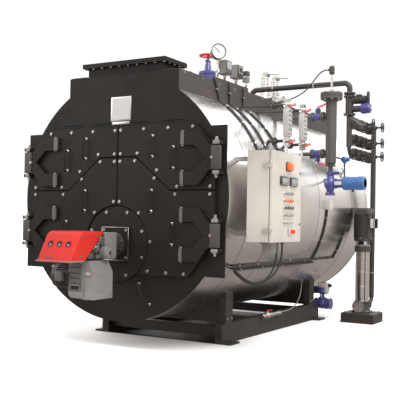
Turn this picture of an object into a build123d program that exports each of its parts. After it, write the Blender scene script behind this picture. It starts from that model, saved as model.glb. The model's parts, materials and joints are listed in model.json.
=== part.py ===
"""Fire-tube steam boiler on skids, with its burner, front doors, control cabinet and feed pump.

The drum lies along Y with its front at -Y. The origin is on the floor, at the centre of
the four anchor bolt holes of the skids. All sizes are in millimetres.
"""

import os
from math import cos, pi, radians, sin, sqrt, tan

from build123d import *

# Drum
drum_radius = 1190.0
drum_lift = 50.0
drum_length = 3900.0
drum_wall = 90.0
end_plate_thickness = 20.0
seat_gap = 0.3

# Front plate and smoke box
plate_thickness = 20.0
ear_inset = 25.0
ear_top = 647.0
ear_bottom = -714.0
crown_half_width = 643.0
smoke_box_depth = 420.0
smoke_box_wall_thickness = 30.0
tube_plate_thickness = 20.0
tube_radius = 32.0
tube_ring_insets = (210.0, 330.0, 450.0)
tube_pitch = 135.0

# Front doors, with heights measured from the drum axis
door_side_inset = 90.0
door_top = 680.0
door_bottom = -725.0
door_corner_in = 225.0
door_corner_down = 252.0
lower_corner_in = 270.0
lower_corner_up = 315.0
seam_centre_height = 383.0
seam_side_height = 65.0
seam_inner_x = 215.0
seam_outer_inset = 475.0
door_gap = 12.0
door_thickness = 35.0
door_seal = 5.0
door_land = 75.0
lining_clearance = 20.0
lining_depth = 75.0

# Door handles and hinge yokes
handle_bar_radius = 9.0
handle_reach = 45.0
inner_handle_x = 395.0
outer_handle_inset = 447.0
upper_handle_heights = (473.0, 361.0)
lower_handle_heights = (-38.0, -343.0)
handle_length = 195.0
hinge_inset = 60.0
hinge_reach = 70.0
hinge_pin_radius = 14.0
hinge_pin_play = 0.5
hinge_barrel_radius = 26.0
hinge_half_height = 148.0
hinge_lug_height = 32.0
hinge_running_gap = 6.0
upper_hinge_height = 352.0
lower_hinge_height = -340.0
yoke_thickness = 30.0
yoke_span = 353.0
yoke_half_height = 243.0
yoke_arm_height = 125.0
yoke_elbow_span = 175.0
yoke_throat_span = 101.0
yoke_pin_radius = 22.0

# Burner, measured from its own axis
burner_drop = -445.0
burner_plate_radius = 360.0
burner_plate_thickness = 25.0
throat_outer_radius = 350.0
throat_inner_radius = 290.0
burner_flange_width = 320.0
burner_flange_thickness = 25.0
burner_body_half_width = 150.0
hood_half_width = 188.0
hood_front = 930.0
hood_front_top = 790.0
hood_rear_bottom = 736.0
hood_rear_top = 462.0
hood_bottom = -140.0
hood_top = 122.0
fan_left = -63.0
fan_right = 200.0
fan_front = 640.0
fan_rear = 325.0
fan_bottom = -480.0
fan_motor_radius = 100.0
fan_motor_length = 195.0
fan_motor_forward = 560.0
fan_motor_drop = -285.0

# Flue outlet and walkway on top of the drum
flue_half_width = 445.0
flue_front = 45.0
flue_rear = 360.0
flue_wall = 10.0
flue_flange_half_width = 491.0
flue_flange_front = 5.0
flue_flange_rear = 400.0
flue_rise = 135.0
flue_flange_thickness = 43.0
deck_half_width = 640.0
deck_thickness = 6.0
deck_lift = 10.0
deck_clearance = 4.0

# Fittings on top, by their distance behind the front
steam_valve_y = 1650.0
manhole_radius = 230.0
safety_valve_setbacks = (735.0, 430.0)
feed_setback = 1110.0
rail_front = 656.0
rail_rear = 1430.0
rail_height = 40.0
gauge_y = 750.0
gauge_radius = 80.0
gauge_stem = 260.0

# Water level gauges, water column and feed line on the right side
level_gauge_ys = (1172.0, 1574.0)
level_gauge_reach = 32.0
link_top_drop = 205.0
link_bottom_drop = 570.0
link_radius = 17.0
column_y = 1965.0
column_reach = 205.0
column_radius = 60.0
column_bottom_drop = 780.0
column_top_drop = 20.0
column_top_link_drop = 225.0
column_bottom_link_drop = 635.0
probe_length = 354.0
column_flange_radius = 120.0
blowdown_drop = 965.0
actuator_reach = 395.0
feed_reach = 122.0
feed_pipe_radius = 24.0
feed_rise = 290.0
feed_bend = 70.0
feed_branch_drops = (550.0, 380.0, 180.0)
branch_valve_inset = 290.0
riser_setback = 160.0
pump_setback = 540.0
pump_height = 208.0
plinth_width = 414.0
plinth_depth = 396.0
plinth_height = 124.0

# Control cabinet on the right side
cabinet_reach = 90.0
cabinet_depth = 218.0
cabinet_front_y = 192.0
cabinet_width = 648.0
cabinet_drop = 393.0
cabinet_height = 823.0
cabinet_wall = 5.0
cabinet_door_gap = 7.0
cabinet_door_thickness = 23.0

# Skids and saddles
skid_outer_x = 748.0
skid_width = 84.0
skid_height = 200.0
skid_web = 12.0
skid_front = 745.0
skid_rear_setback = 585.0
front_saddle_inset = 140.0
rear_saddle_inset = 235.0
saddle_width = 150.0
saddle_plate = 25.0
foot_length = 200.0
foot_reach = 95.0
foot_thickness = 20.0
anchor_x = 795.0
anchor_hole_radius = 13.0

# Values that follow from the sizes above
drum_axis_height = skid_height + drum_lift + drum_radius
skid_rear = drum_length - skid_rear_setback
saddle_ys = (skid_front + front_saddle_inset, skid_rear - rear_saddle_inset)
front_y = -(skid_front + skid_rear) / 2
ear_half_width = drum_radius - ear_inset
tube_rings = [drum_radius - inset for inset in tube_ring_insets]
door_half_width = ear_half_width - door_side_inset
seam_outer_x = door_half_width - seam_outer_inset
handle_xs = (inner_handle_x, door_half_width - outer_handle_inset)
hinge_x = ear_half_width - hinge_inset
yoke_pin_x = hinge_x - yoke_span
yoke_elbow_x = hinge_x - yoke_elbow_span
yoke_throat_x = hinge_x - yoke_throat_span
flue_flange_top = drum_radius + flue_rise
safety_valve_ys = [drum_length - setback for setback in safety_valve_setbacks]
manhole_y = (steam_valve_y + safety_valve_ys[0]) / 2
feed_y = drum_length - feed_setback
riser_y = drum_length - riser_setback
pump_y = drum_length - pump_setback
level_gauge_x = drum_radius + level_gauge_reach
link_top = drum_radius - link_top_drop
link_bottom = drum_radius - link_bottom_drop
column_x = drum_radius + column_reach
column_top = drum_radius - column_top_drop
column_bottom = drum_radius - column_bottom_drop
column_top_link = drum_radius - column_top_link_drop
column_bottom_link = drum_radius - column_bottom_link_drop
actuator_end_x = column_x + actuator_reach
feed_x = drum_radius + feed_reach
cabinet_back = drum_radius + cabinet_reach
cabinet_bottom = drum_axis_height - cabinet_drop
rear_y = front_y + drum_length
smoke_box_back_y = front_y + plate_thickness + smoke_box_depth
hinge_y = front_y - hinge_reach
door_back_y = front_y - door_seal
door_front_y = door_back_y - door_thickness
burner_height = drum_axis_height + burner_drop
skid_inner_x = skid_outer_x - skid_width
deck_top = drum_axis_height + drum_radius + deck_lift

os.makedirs("parts", exist_ok=True)


def keep(builder, name):
    """Label a finished piece and write it to its own file."""
    builder.part.label = name
    export_step(builder.part, f"parts/{name}.step")


def behind(distance):
    """Y of a place that lies this far behind the front plate's face."""
    return front_y + distance


def front_plane(y, height=drum_axis_height):
    """Upright plane that faces the front, with its origin at a height on the centre line."""
    return Plane(origin=(0, y, height), x_dir=(1, 0, 0), z_dir=(0, -1, 0))


def drum_edge(height):
    """Half width of the drum at a height above its axis."""
    return sqrt(drum_radius**2 - height**2)


def rod(start, end, radius):
    """Add a round bar between two points."""
    span = Vector(*end) - Vector(*start)
    with Locations(Plane(origin=start, z_dir=span).location):
        Cylinder(radius, span.length, align=(Align.CENTER, Align.CENTER, Align.MIN))


def block(low, high, mode=Mode.ADD):
    """Add a box between two opposite corners."""
    size = [b - a for a, b in zip(low, high)]
    middle = [(a + b) / 2 for a, b in zip(low, high)]
    with Locations(tuple(middle)):
        Box(*size, mode=mode)


def pipe(points, radius, bend):
    """Add a round pipe along straight runs joined by bends."""
    with BuildLine(mode=Mode.PRIVATE) as route:
        FilletPolyline(*points, radius=bend)
    start = Plane(origin=route.line @ 0, z_dir=route.line % 0)
    with BuildSketch(start, mode=Mode.PRIVATE) as section:
        Circle(radius)
    sweep(section.sketch, path=route.line)


def cut_drum(clearance=seat_gap):
    """Cut the drum's round outside away, so that a fitting sits on it."""
    with Locations(front_plane(rear_y).location):
        Cylinder(
            drum_radius + clearance,
            drum_length,
            align=(Align.CENTER, Align.CENTER, Align.MIN),
            mode=Mode.SUBTRACT,
        )


def door_outline(level, side, inset=0.0):
    """Outline of one front door from its edge inwards, drawn about the drum axis."""
    split = door_gap / 2
    seam_shift = split if level == "upper" else -split
    seam = [
        (split, seam_centre_height + seam_shift),
        (seam_inner_x, seam_centre_height + seam_shift),
        (seam_outer_x, seam_side_height + seam_shift),
        (door_half_width, seam_side_height + seam_shift),
    ]
    if level == "upper":
        rest = [
            (door_half_width, door_top - door_corner_down),
            (door_half_width - door_corner_in, door_top),
            (split, door_top),
        ]
    else:
        rest = [
            (door_half_width, door_bottom + lower_corner_up),
            (door_half_width - lower_corner_in, door_bottom),
            (split, door_bottom),
        ]
    with BuildSketch(mode=Mode.PRIVATE) as outline:
        with BuildLine():
            Polyline(*[(side * x, z) for x, z in seam + rest], close=True)
        make_face()
        with Locations((0, burner_drop)):
            Circle(burner_plate_radius + door_gap, mode=Mode.SUBTRACT)
        if inset:
            offset(amount=-inset, kind=Kind.INTERSECTION, mode=Mode.REPLACE)
    return outline.sketch


# Front plate with the four door openings and the burner opening
with BuildPart() as front_plate:
    with BuildSketch(front_plane(front_y)):
        Circle(drum_radius)
        with Locations((0, (ear_top + ear_bottom) / 2)):
            Rectangle(2 * ear_half_width, ear_top - ear_bottom)
        with Locations((0, drum_radius / 2)):
            Rectangle(2 * crown_half_width, drum_radius)
        for opening_level in ("upper", "lower"):
            for opening_side in (-1, 1):
                add(door_outline(opening_level, opening_side, door_land), mode=Mode.SUBTRACT)
        with Locations((0, burner_drop)):
            Circle(throat_outer_radius + seat_gap, mode=Mode.SUBTRACT)
    extrude(amount=-plate_thickness)
keep(front_plate, "front_plate")

# Smoke box ring behind the front plate, open at the top for the flue gas
with BuildPart() as smoke_box_wall:
    with BuildSketch(front_plane(front_y + plate_thickness)):
        Circle(drum_radius)
        Circle(drum_radius - smoke_box_wall_thickness, mode=Mode.SUBTRACT)
    extrude(amount=-smoke_box_depth)
    block(
        (-flue_half_width + flue_wall, behind(flue_front + flue_wall), drum_axis_height),
        (flue_half_width - flue_wall, behind(flue_rear - flue_wall), drum_axis_height + 2 * drum_radius),
        mode=Mode.SUBTRACT,
    )
keep(smoke_box_wall, "smoke_box_wall")

# Tube plate at the back of the smoke box, with rings of smoke tubes round the furnace
tube_plate_radius = drum_radius - smoke_box_wall_thickness - seat_gap
tube_keep_out = throat_outer_radius + 2 * tube_radius
with BuildPart() as tube_plate:
    with BuildSketch(front_plane(smoke_box_back_y)):
        Circle(tube_plate_radius)
        with Locations((0, burner_drop)):
            Circle(throat_inner_radius, mode=Mode.SUBTRACT)
        for ring_radius in tube_rings:
            tube_count = int(2 * pi * ring_radius / tube_pitch)
            for tube in range(tube_count):
                turn = 2 * pi * (tube + 0.5) / tube_count
                tube_x = ring_radius * sin(turn)
                tube_z = ring_radius * cos(turn)
                if sqrt(tube_x**2 + (tube_z - burner_drop) ** 2) > tube_keep_out:
                    with Locations((tube_x, tube_z)):
                        Circle(tube_radius, mode=Mode.SUBTRACT)
    extrude(amount=tube_plate_thickness)
keep(tube_plate, "tube_plate")

# Insulated drum between the tube plate and the rear end plate
with BuildPart() as drum_shell:
    with BuildSketch(front_plane(smoke_box_back_y)):
        Circle(drum_radius)
        Circle(drum_radius - drum_wall, mode=Mode.SUBTRACT)
    extrude(amount=-(rear_y - end_plate_thickness - smoke_box_back_y))
keep(drum_shell, "drum_shell")

with BuildPart() as rear_end_plate:
    with BuildSketch(front_plane(rear_y - end_plate_thickness)):
        Circle(drum_radius)
    extrude(amount=-end_plate_thickness)
keep(rear_end_plate, "rear_end_plate")

# Furnace throat that carries the burner plate through the smoke box
with BuildPart() as burner_throat:
    with BuildSketch(front_plane(door_back_y, burner_height)):
        Circle(throat_outer_radius)
        Circle(throat_inner_radius, mode=Mode.SUBTRACT)
    extrude(amount=-(smoke_box_back_y - tube_plate_thickness - door_back_y))
keep(burner_throat, "burner_throat")


# Front doors with their welded handles
def handle(x, height):
    """Add an upright U-shaped grip bar to a door's face."""
    foot = door_front_y
    grip = door_front_y - handle_reach
    low = drum_axis_height + height - handle_length / 2
    high = drum_axis_height + height + handle_length / 2
    inside = handle_bar_radius / 2
    route = [(x, foot + inside, low), (x, grip, low), (x, grip, high), (x, foot + inside, high)]
    pipe(route, handle_bar_radius, 2 * handle_bar_radius)


for level, handle_heights in (("upper", upper_handle_heights), ("lower", lower_handle_heights)):
    for side, side_name in ((-1, "left"), (1, "right")):
        with BuildPart() as door:
            with BuildSketch(front_plane(door_back_y)):
                add(door_outline(level, side))
            extrude(amount=door_thickness)
            for handle_x, handle_z in zip(handle_xs, handle_heights):
                handle(side * handle_x, handle_z)
        keep(door, f"{level}_{side_name}_door")

        # Refractory block on the back of the door, clear of the opening's edge
        with BuildPart() as lining:
            with BuildSketch(front_plane(door_back_y)):
                add(door_outline(level, side, door_land + lining_clearance))
            extrude(amount=-lining_depth)
        keep(lining, f"{level}_{side_name}_lining")


# Hinge yokes, which ride with the doors, and their brackets on the front plate
hinge_levels = (("upper", upper_hinge_height), ("lower", lower_hinge_height))
barrel_half_height = hinge_half_height - hinge_lug_height - hinge_running_gap
yoke_inner_height = yoke_half_height - yoke_arm_height
yoke_clear_radius = hinge_reach - door_seal
yoke_shoulder = 20.0
yoke_mouth_step = 50.0
yoke_foot_inset = 15.0
yoke_outline = [
    (yoke_pin_x, yoke_half_height),
    (yoke_elbow_x, yoke_half_height),
    (hinge_x - yoke_clear_radius - yoke_shoulder, barrel_half_height + yoke_shoulder),
    (hinge_x - yoke_clear_radius, barrel_half_height),
    (hinge_x, barrel_half_height),
]
yoke_mouth = [
    (yoke_throat_x, 0),
    (yoke_elbow_x - yoke_mouth_step, yoke_inner_height),
    (yoke_pin_x, yoke_inner_height),
]


for level, hinge_height in hinge_levels:
    hinge_z = drum_axis_height + hinge_height
    for side, side_name in ((-1, "left"), (1, "right")):
        with BuildPart() as yoke:
            with BuildSketch(front_plane(hinge_y + yoke_thickness / 2, hinge_z)):
                with BuildLine():
                    upper_half = [(side * x, z) for x, z in yoke_outline]
                    Polyline(*upper_half, *[(x, -z) for x, z in reversed(upper_half)], close=True)
                make_face()
                with BuildLine():
                    upper_mouth = [(side * x, z) for x, z in yoke_mouth]
                    Polyline(*upper_mouth, *[(x, -z) for x, z in reversed(upper_mouth[1:])], close=True)
                make_face(mode=Mode.SUBTRACT)
            extrude(amount=yoke_thickness)
            for arm in (-1, 1):
                arm_z = hinge_z + arm * (yoke_half_height - yoke_arm_height / 2)
                half_arm = yoke_arm_height / 2
                pin_x = side * yoke_pin_x
                rod((pin_x, hinge_y, arm_z - half_arm), (pin_x, hinge_y, arm_z + half_arm), yoke_pin_radius)
                block(
                    (pin_x - yoke_pin_radius, hinge_y, arm_z - half_arm + yoke_foot_inset),
                    (pin_x + yoke_pin_radius, door_front_y, arm_z + half_arm - yoke_foot_inset),
                )
            barrel_low = (side * hinge_x, hinge_y, hinge_z - barrel_half_height)
            barrel_high = (side * hinge_x, hinge_y, hinge_z + barrel_half_height)
            rod(barrel_low, barrel_high, hinge_barrel_radius)
            with Locations((side * hinge_x, hinge_y, hinge_z)):
                Cylinder(hinge_pin_radius + hinge_pin_play, 3 * barrel_half_height, mode=Mode.SUBTRACT)
        keep(yoke, f"{level}_{side_name}_yoke")

bracket_inner_x = door_half_width + door_seal
bracket_overhang = 45.0
bracket_outer_x = hinge_x + bracket_overhang
bracket_back = 12.0
lug_overhang = 2.0
with BuildPart() as hinge_brackets:
    for level, hinge_height in hinge_levels:
        hinge_z = drum_axis_height + hinge_height
        for side in (-1, 1):
            near_x, far_x = sorted((side * bracket_inner_x, side * bracket_outer_x))
            low_z, high_z = hinge_z - hinge_half_height, hinge_z + hinge_half_height
            block((near_x, front_y - bracket_back, low_z), (far_x, front_y, high_z))
            for lug_z in (low_z, high_z - hinge_lug_height):
                block(
                    (near_x, hinge_y - hinge_barrel_radius - lug_overhang, lug_z),
                    (far_x, front_y, lug_z + hinge_lug_height),
                )
            rod((side * hinge_x, hinge_y, low_z), (side * hinge_x, hinge_y, high_z), hinge_pin_radius)
keep(hinge_brackets, "hinge_brackets")

# Burner plate and square flange
burner_flange_corner = 20.0
burner_plate_front_y = door_back_y - burner_plate_thickness
burner_flange_front_y = burner_plate_front_y - burner_flange_thickness
with BuildPart() as burner_plate:
    with BuildSketch(front_plane(door_back_y, burner_height)):
        Circle(burner_plate_radius)
    extrude(amount=burner_plate_thickness)
    with BuildSketch(front_plane(burner_plate_front_y, burner_height)):
        RectangleRounded(burner_flange_width, burner_flange_width, burner_flange_corner)
    extrude(amount=burner_flange_thickness)
keep(burner_plate, "burner_plate")


def side_plane(x, height):
    """Upright plane that faces +X; its own x runs backwards along Y from the front plate."""
    return Plane(origin=(x, front_y, height), x_dir=(0, 1, 0), z_dir=(1, 0, 0))


# Burner housing behind the hood's sloping back edge, with a round servo on its right side
burner_neck_rise = 12.0
servo_radius = 58.0
servo_height = -70.0
servo_forward = 400.0
servo_depth = 45.0
with BuildPart() as burner_body:
    with BuildSketch(side_plane(-burner_body_half_width, burner_height)):
        with BuildLine():
            Polyline(
                (burner_flange_front_y - front_y, hood_bottom + burner_neck_rise),
                (burner_flange_front_y - front_y, hood_top - burner_neck_rise),
                (-hood_rear_top, hood_top),
                (-hood_rear_bottom, hood_bottom),
                (-fan_rear, hood_bottom),
                close=True,
            )
        make_face()
    extrude(amount=2 * burner_body_half_width)
    servo_centre = (burner_body_half_width, behind(-servo_forward), burner_height + servo_height)
    servo_end = (burner_body_half_width + servo_depth, behind(-servo_forward), burner_height + servo_height)
    rod(servo_centre, servo_end, servo_radius)
keep(burner_body, "burner_body")

# Hood over the burner head: a sloping front that rolls over into the top, with soft side edges
hood_brow_radius = 80.0
hood_edge_radius = 26.0
brow_depth = 60.0
edge_margin = 1.0
with BuildPart() as burner_hood:
    with BuildSketch(side_plane(-hood_half_width, burner_height)) as hood_profile:
        with BuildLine():
            Polyline(
                (-hood_front, hood_bottom),
                (-hood_front_top, hood_top),
                (-hood_rear_top - seat_gap, hood_top),
                (-hood_rear_bottom - seat_gap, hood_bottom),
                close=True,
            )
        make_face()
        brow = hood_profile.vertices().group_by(Axis.Y)[-1].sort_by(Axis.X)[0]
        fillet(brow, hood_brow_radius)
    extrude(amount=2 * hood_half_width)
    sides = burner_hood.faces().filter_by(Axis.X)
    brow_y = behind(-hood_front_top + brow_depth)
    roof_z = burner_height + hood_top - edge_margin
    rim = [edge for edge in sides.edges() if edge.center().Z > roof_z or edge.center().Y < brow_y]
    rim = [edge for edge in rim if edge.center().Z > burner_height + hood_bottom + edge_margin]
    fillet(rim, hood_edge_radius)
keep(burner_hood, "burner_hood")

# Fan housing under the burner, with its curved air intake on the right, and the fan motor on the left
fan_split = 95.0
fan_corner_radius = 60.0
snout_setback = 18.0
snout_neck = 145.0
snout_shoulder = -245.0
snout_round = 45.0
with BuildPart() as fan_housing:
    block(
        (fan_left, behind(-fan_front), burner_height + fan_bottom),
        (fan_split, behind(-fan_rear), burner_height + hood_bottom - seat_gap),
    )
    fillet(fan_housing.edges().filter_by(Axis.X).group_by(Axis.Z)[0], fan_corner_radius)
    with BuildSketch(front_plane(behind(-fan_front + snout_setback), burner_height)) as snout:
        with BuildLine():
            Polyline(
                (fan_split - snout_setback, hood_bottom - seat_gap),
                (snout_neck, hood_bottom - seat_gap),
                (fan_right, snout_shoulder),
                (fan_right, fan_bottom),
                (fan_split - snout_setback, fan_bottom),
                close=True,
            )
        make_face()
        fillet(snout.vertices().group_by(Axis.X)[-1].sort_by(Axis.Y)[-1], snout_round)
    extrude(amount=-(fan_front - fan_rear - 2 * snout_setback))
keep(fan_housing, "fan_housing")

fan_motor_edge_radius = 18.0
motor_z = burner_height + fan_motor_drop
with BuildPart() as fan_motor:
    rod(
        (fan_left - seat_gap, behind(-fan_motor_forward), motor_z),
        (fan_left - fan_motor_length, behind(-fan_motor_forward), motor_z),
        fan_motor_radius,
    )
    fillet(fan_motor.edges().group_by(Axis.X)[0], fan_motor_edge_radius)
keep(fan_motor, "fan_motor")

# Flue outlet: a hollow neck with a flange round its mouth
with BuildPart() as flue_outlet:
    block(
        (-flue_half_width, behind(flue_front), drum_axis_height),
        (flue_half_width, behind(flue_rear), drum_axis_height + flue_flange_top),
    )
    block(
        (
            -flue_flange_half_width,
            behind(flue_flange_front),
            drum_axis_height + flue_flange_top - flue_flange_thickness,
        ),
        (flue_flange_half_width, behind(flue_flange_rear), drum_axis_height + flue_flange_top),
    )
    block(
        (-flue_half_width + flue_wall, behind(flue_front + flue_wall), drum_axis_height),
        (flue_half_width - flue_wall, behind(flue_rear - flue_wall), drum_axis_height + 2 * drum_radius),
        mode=Mode.SUBTRACT,
    )
    cut_drum(0)
keep(flue_outlet, "flue_outlet")

# Walkway: a flat plate behind the flue, between two angle skirts that stand on the drum
nozzle_radius = 62.0
safety_nozzle_radius = 45.0
skirt_inner_x = flue_half_width + deck_clearance
deck_gland_y = -152.0
deck_gland_drop = 71.0
deck_gland_reach = 25.0
deck_gland_radius = 11.0
with BuildPart() as walkway_deck:
    block(
        (-skirt_inner_x + seat_gap, behind(flue_rear) + deck_clearance, deck_top - deck_thickness),
        (skirt_inner_x - seat_gap, rear_y, deck_top),
    )
    cutouts = [(steam_valve_y, nozzle_radius), (manhole_y, manhole_radius), (feed_y, feed_pipe_radius)]
    cutouts += [(valve_y, safety_nozzle_radius) for valve_y in safety_valve_ys]
    for cut_y, cut_radius in cutouts:
        with Locations((0, behind(cut_y), deck_top)):
            Cylinder(cut_radius + deck_clearance, 3 * deck_thickness, mode=Mode.SUBTRACT)
keep(walkway_deck, "walkway_deck")

with BuildPart() as deck_skirts:
    for side in (-1, 1):
        near_x, far_x = sorted((side * skirt_inner_x, side * deck_half_width))
        block((near_x, front_y + plate_thickness, deck_top - deck_thickness), (far_x, rear_y, deck_top))
        near_x, far_x = sorted((side * (deck_half_width - deck_thickness), side * deck_half_width))
        skirt_low = (near_x, front_y + plate_thickness, drum_axis_height + drum_radius / 2)
        block(skirt_low, (far_x, rear_y, deck_top))
    cut_drum(0)
    gland_seat = (deck_half_width, deck_gland_y, deck_top - deck_gland_drop)
    gland_end = (deck_half_width + deck_gland_reach, deck_gland_y, deck_top - deck_gland_drop)
    rod(gland_seat, gland_end, deck_gland_radius)
keep(deck_skirts, "deck_skirts")


def turned(profile, x, y):
    """Add a body of revolution about an upright axis; the profile lists radius and height."""
    with BuildSketch(Plane(origin=(x, y, 0), x_dir=(1, 0, 0), z_dir=(0, -1, 0)), mode=Mode.PRIVATE) as half:
        with BuildLine():
            Polyline((0, profile[0][1]), *profile, (0, profile[-1][1]), close=True)
        make_face()
    revolve(half.sketch, axis=Axis((x, y, 0), (0, 0, 1)))


def flange_holes(centre, direction, pitch_radius, count, hole_radius, depth):
    """Cut a ring of bolt holes through a flange."""
    with Locations(Plane(origin=centre, z_dir=direction).location):
        with PolarLocations(pitch_radius, count):
            Cylinder(hole_radius, depth, mode=Mode.SUBTRACT)


def wheel(centre, direction, radius, rim_radius, hub_radius):
    """Add a handwheel: a round rim with a cross of spokes and a hub."""
    seat = Plane(origin=centre, z_dir=direction)
    with Locations(seat.location):
        Torus(radius, rim_radius)
        Cylinder(hub_radius, 4 * rim_radius)
    for turn in (45, 135):
        arm = seat.x_dir.rotate(Axis(centre, direction), turn) * radius
        rod(tuple(Vector(*centre) - arm), tuple(Vector(*centre) + arm), rim_radius * 0.7)


# Main steam valve: an angle valve with its outlet flange on the left side
steam_flange_radius = 110.0
steam_flange_thickness = 22.0
steam_pitch_radius = 90.0
steam_hole_radius = 9.0
steam_body_radius = 95.0
steam_neck_radius = 76.0
steam_cover_radius = 104.0
steam_bonnet_radius = 43.0
steam_yoke_radius = 28.0
steam_stem_radius = 12.0
steam_neck_height = 100.0
steam_body_rise = 230.0
steam_body_below = 40.0
steam_body_above = 50.0
steam_cover_height = 30.0
steam_bonnet_height = 30.0
steam_yoke_height = 80.0
steam_stem_height = 60.0
steam_outlet_reach = 230.0
steam_hole_count = 8
nozzle_sink = 60.0
steam_neck_z = deck_top + steam_neck_height
steam_body_z = deck_top + steam_body_rise
steam_cover_z = steam_body_z + steam_body_above
steam_bonnet_z = steam_cover_z + steam_cover_height + steam_bonnet_height
steam_yoke_z = steam_bonnet_z + steam_yoke_height
steam_stem_z = steam_yoke_z + steam_stem_height
steam_y = behind(steam_valve_y)
crown = drum_axis_height + drum_radius
with BuildPart() as steam_valve:
    turned(
        [
            (nozzle_radius, crown - nozzle_sink),
            (nozzle_radius, steam_neck_z),
            (steam_flange_radius, steam_neck_z),
            (steam_flange_radius, steam_neck_z + 2 * steam_flange_thickness),
            (steam_neck_radius, steam_neck_z + 2 * steam_flange_thickness),
            (steam_body_radius, steam_body_z - steam_body_below),
            (steam_body_radius, steam_cover_z),
            (steam_cover_radius, steam_cover_z),
            (steam_cover_radius, steam_cover_z + steam_cover_height),
            (steam_bonnet_radius, steam_bonnet_z),
            (steam_yoke_radius, steam_yoke_z),
            (steam_stem_radius, steam_yoke_z),
            (steam_stem_radius, steam_stem_z),
        ],
        0,
        steam_y,
    )
    outlet_x = -steam_outlet_reach
    rod((0, steam_y, steam_body_z), (outlet_x, steam_y, steam_body_z), nozzle_radius)
    rod(
        (outlet_x, steam_y, steam_body_z),
        (outlet_x - steam_flange_thickness, steam_y, steam_body_z),
        steam_flange_radius,
    )
    flange_holes(
        (outlet_x - steam_flange_thickness / 2, steam_y, steam_body_z),
        (-1, 0, 0),
        steam_pitch_radius,
        steam_hole_count,
        steam_hole_radius,
        2 * steam_flange_thickness,
    )
    cut_drum()
keep(steam_valve, "steam_valve")

steam_wheel_radius = 95.0
steam_wheel_rim = 11.0
steam_wheel_hub = 24.0
with BuildPart() as steam_valve_wheel:
    wheel_centre = (0, steam_y, steam_stem_z + 2 * steam_wheel_rim)
    wheel(wheel_centre, (0, 0, 1), steam_wheel_radius, steam_wheel_rim, steam_wheel_hub)
keep(steam_valve_wheel, "steam_valve_wheel")

# Manhole neck and cover
manhole_rise = 130.0
manhole_rim = 55.0
manhole_cover_height = 60.0
manhole_top = deck_top + manhole_rise
with BuildPart() as manhole:
    turned(
        [
            (manhole_radius, crown - nozzle_sink),
            (manhole_radius, manhole_top - manhole_cover_height),
            (manhole_radius + manhole_rim, manhole_top - manhole_cover_height),
            (manhole_radius + manhole_rim, manhole_top),
        ],
        0,
        behind(manhole_y),
    )
    cut_drum()
keep(manhole, "manhole")

# Safety valves, each with a side outlet and a lifting lever
safety_flange_radius = 85.0
safety_flange_height = 40.0
safety_neck_height = 110.0
safety_waist_radius = 58.0
safety_belly_radius = 70.0
safety_belly_rise = 80.0
safety_body_height = 170.0
safety_rim_radius = 66.0
safety_rim_height = 25.0
safety_bonnet_radius = 50.0
safety_bonnet_top_radius = 46.0
safety_bonnet_height = 175.0
safety_cap_radius = 30.0
safety_cap_step = 15.0
safety_cap_height = 45.0
safety_outlet_radius = 42.0
safety_outlet_reach = 120.0
safety_outlet_flange_radius = 70.0
safety_outlet_flange_thickness = 18.0
safety_lever_reach = 190.0
safety_lever_radius = 9.0
safety_lever_dip = 15.0
safety_neck_z = deck_top + safety_neck_height
safety_body_z = safety_neck_z + safety_flange_height
safety_rim_z = safety_body_z + safety_body_height
safety_bonnet_z = safety_rim_z + safety_rim_height
safety_cap_z = safety_bonnet_z + safety_bonnet_height + safety_cap_step
with BuildPart() as safety_valves:
    for valve_y in safety_valve_ys:
        y = behind(valve_y)
        turned(
            [
                (safety_nozzle_radius, crown - nozzle_sink),
                (safety_nozzle_radius, safety_neck_z),
                (safety_flange_radius, safety_neck_z),
                (safety_flange_radius, safety_body_z),
                (safety_waist_radius, safety_body_z),
                (safety_belly_radius, safety_body_z + safety_belly_rise),
                (safety_waist_radius, safety_rim_z),
                (safety_rim_radius, safety_rim_z),
                (safety_rim_radius, safety_bonnet_z),
                (safety_bonnet_radius, safety_bonnet_z),
                (safety_bonnet_top_radius, safety_bonnet_z + safety_bonnet_height),
                (safety_cap_radius, safety_cap_z),
                (safety_cap_radius, safety_cap_z + safety_cap_height),
            ],
            0,
            y,
        )
        outlet_z = safety_body_z + safety_belly_rise + safety_flange_height / 8
        outlet_end = (safety_outlet_reach, y, outlet_z)
        flange_end = (safety_outlet_reach + safety_outlet_flange_thickness, y, outlet_z)
        rod((0, y, outlet_z), outlet_end, safety_outlet_radius)
        rod(outlet_end, flange_end, safety_outlet_flange_radius)
        lever_z = safety_cap_z + safety_cap_height / 2
        rod((0, y, lever_z), (safety_lever_reach, y, lever_z - safety_lever_dip), safety_lever_radius)
    cut_drum()
keep(safety_valves, "safety_valves")

# Instrument rail on the deck's right edge, with the pressure gauge and pressure switches
rail_x = deck_half_width
rail_thickness = 6.0
rail_top = deck_top + rail_height
with BuildPart() as instrument_rail:
    block(
        (rail_x - rail_height, behind(rail_front), deck_top),
        (rail_x, behind(rail_rear), deck_top + rail_thickness),
    )
    block((rail_x - rail_thickness, behind(rail_front), deck_top), (rail_x, behind(rail_rear), rail_top))
keep(instrument_rail, "instrument_rail")

gauge_x = rail_x - rail_thickness / 2
gauge_z = rail_top + gauge_stem
gauge_stem_radius = 10.0
gauge_case_depth = 50.0
gauge_turn = 40.0
with BuildPart() as pressure_gauge:
    rod((gauge_x, behind(gauge_y), rail_top), (gauge_x, behind(gauge_y), gauge_z), gauge_stem_radius)
    gauge_facing = (cos(radians(gauge_turn)), -sin(radians(gauge_turn)), 0)
    with Locations(Plane(origin=(gauge_x, behind(gauge_y), gauge_z), z_dir=gauge_facing).location):
        Cylinder(gauge_radius, gauge_case_depth)
keep(pressure_gauge, "pressure_gauge")

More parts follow.
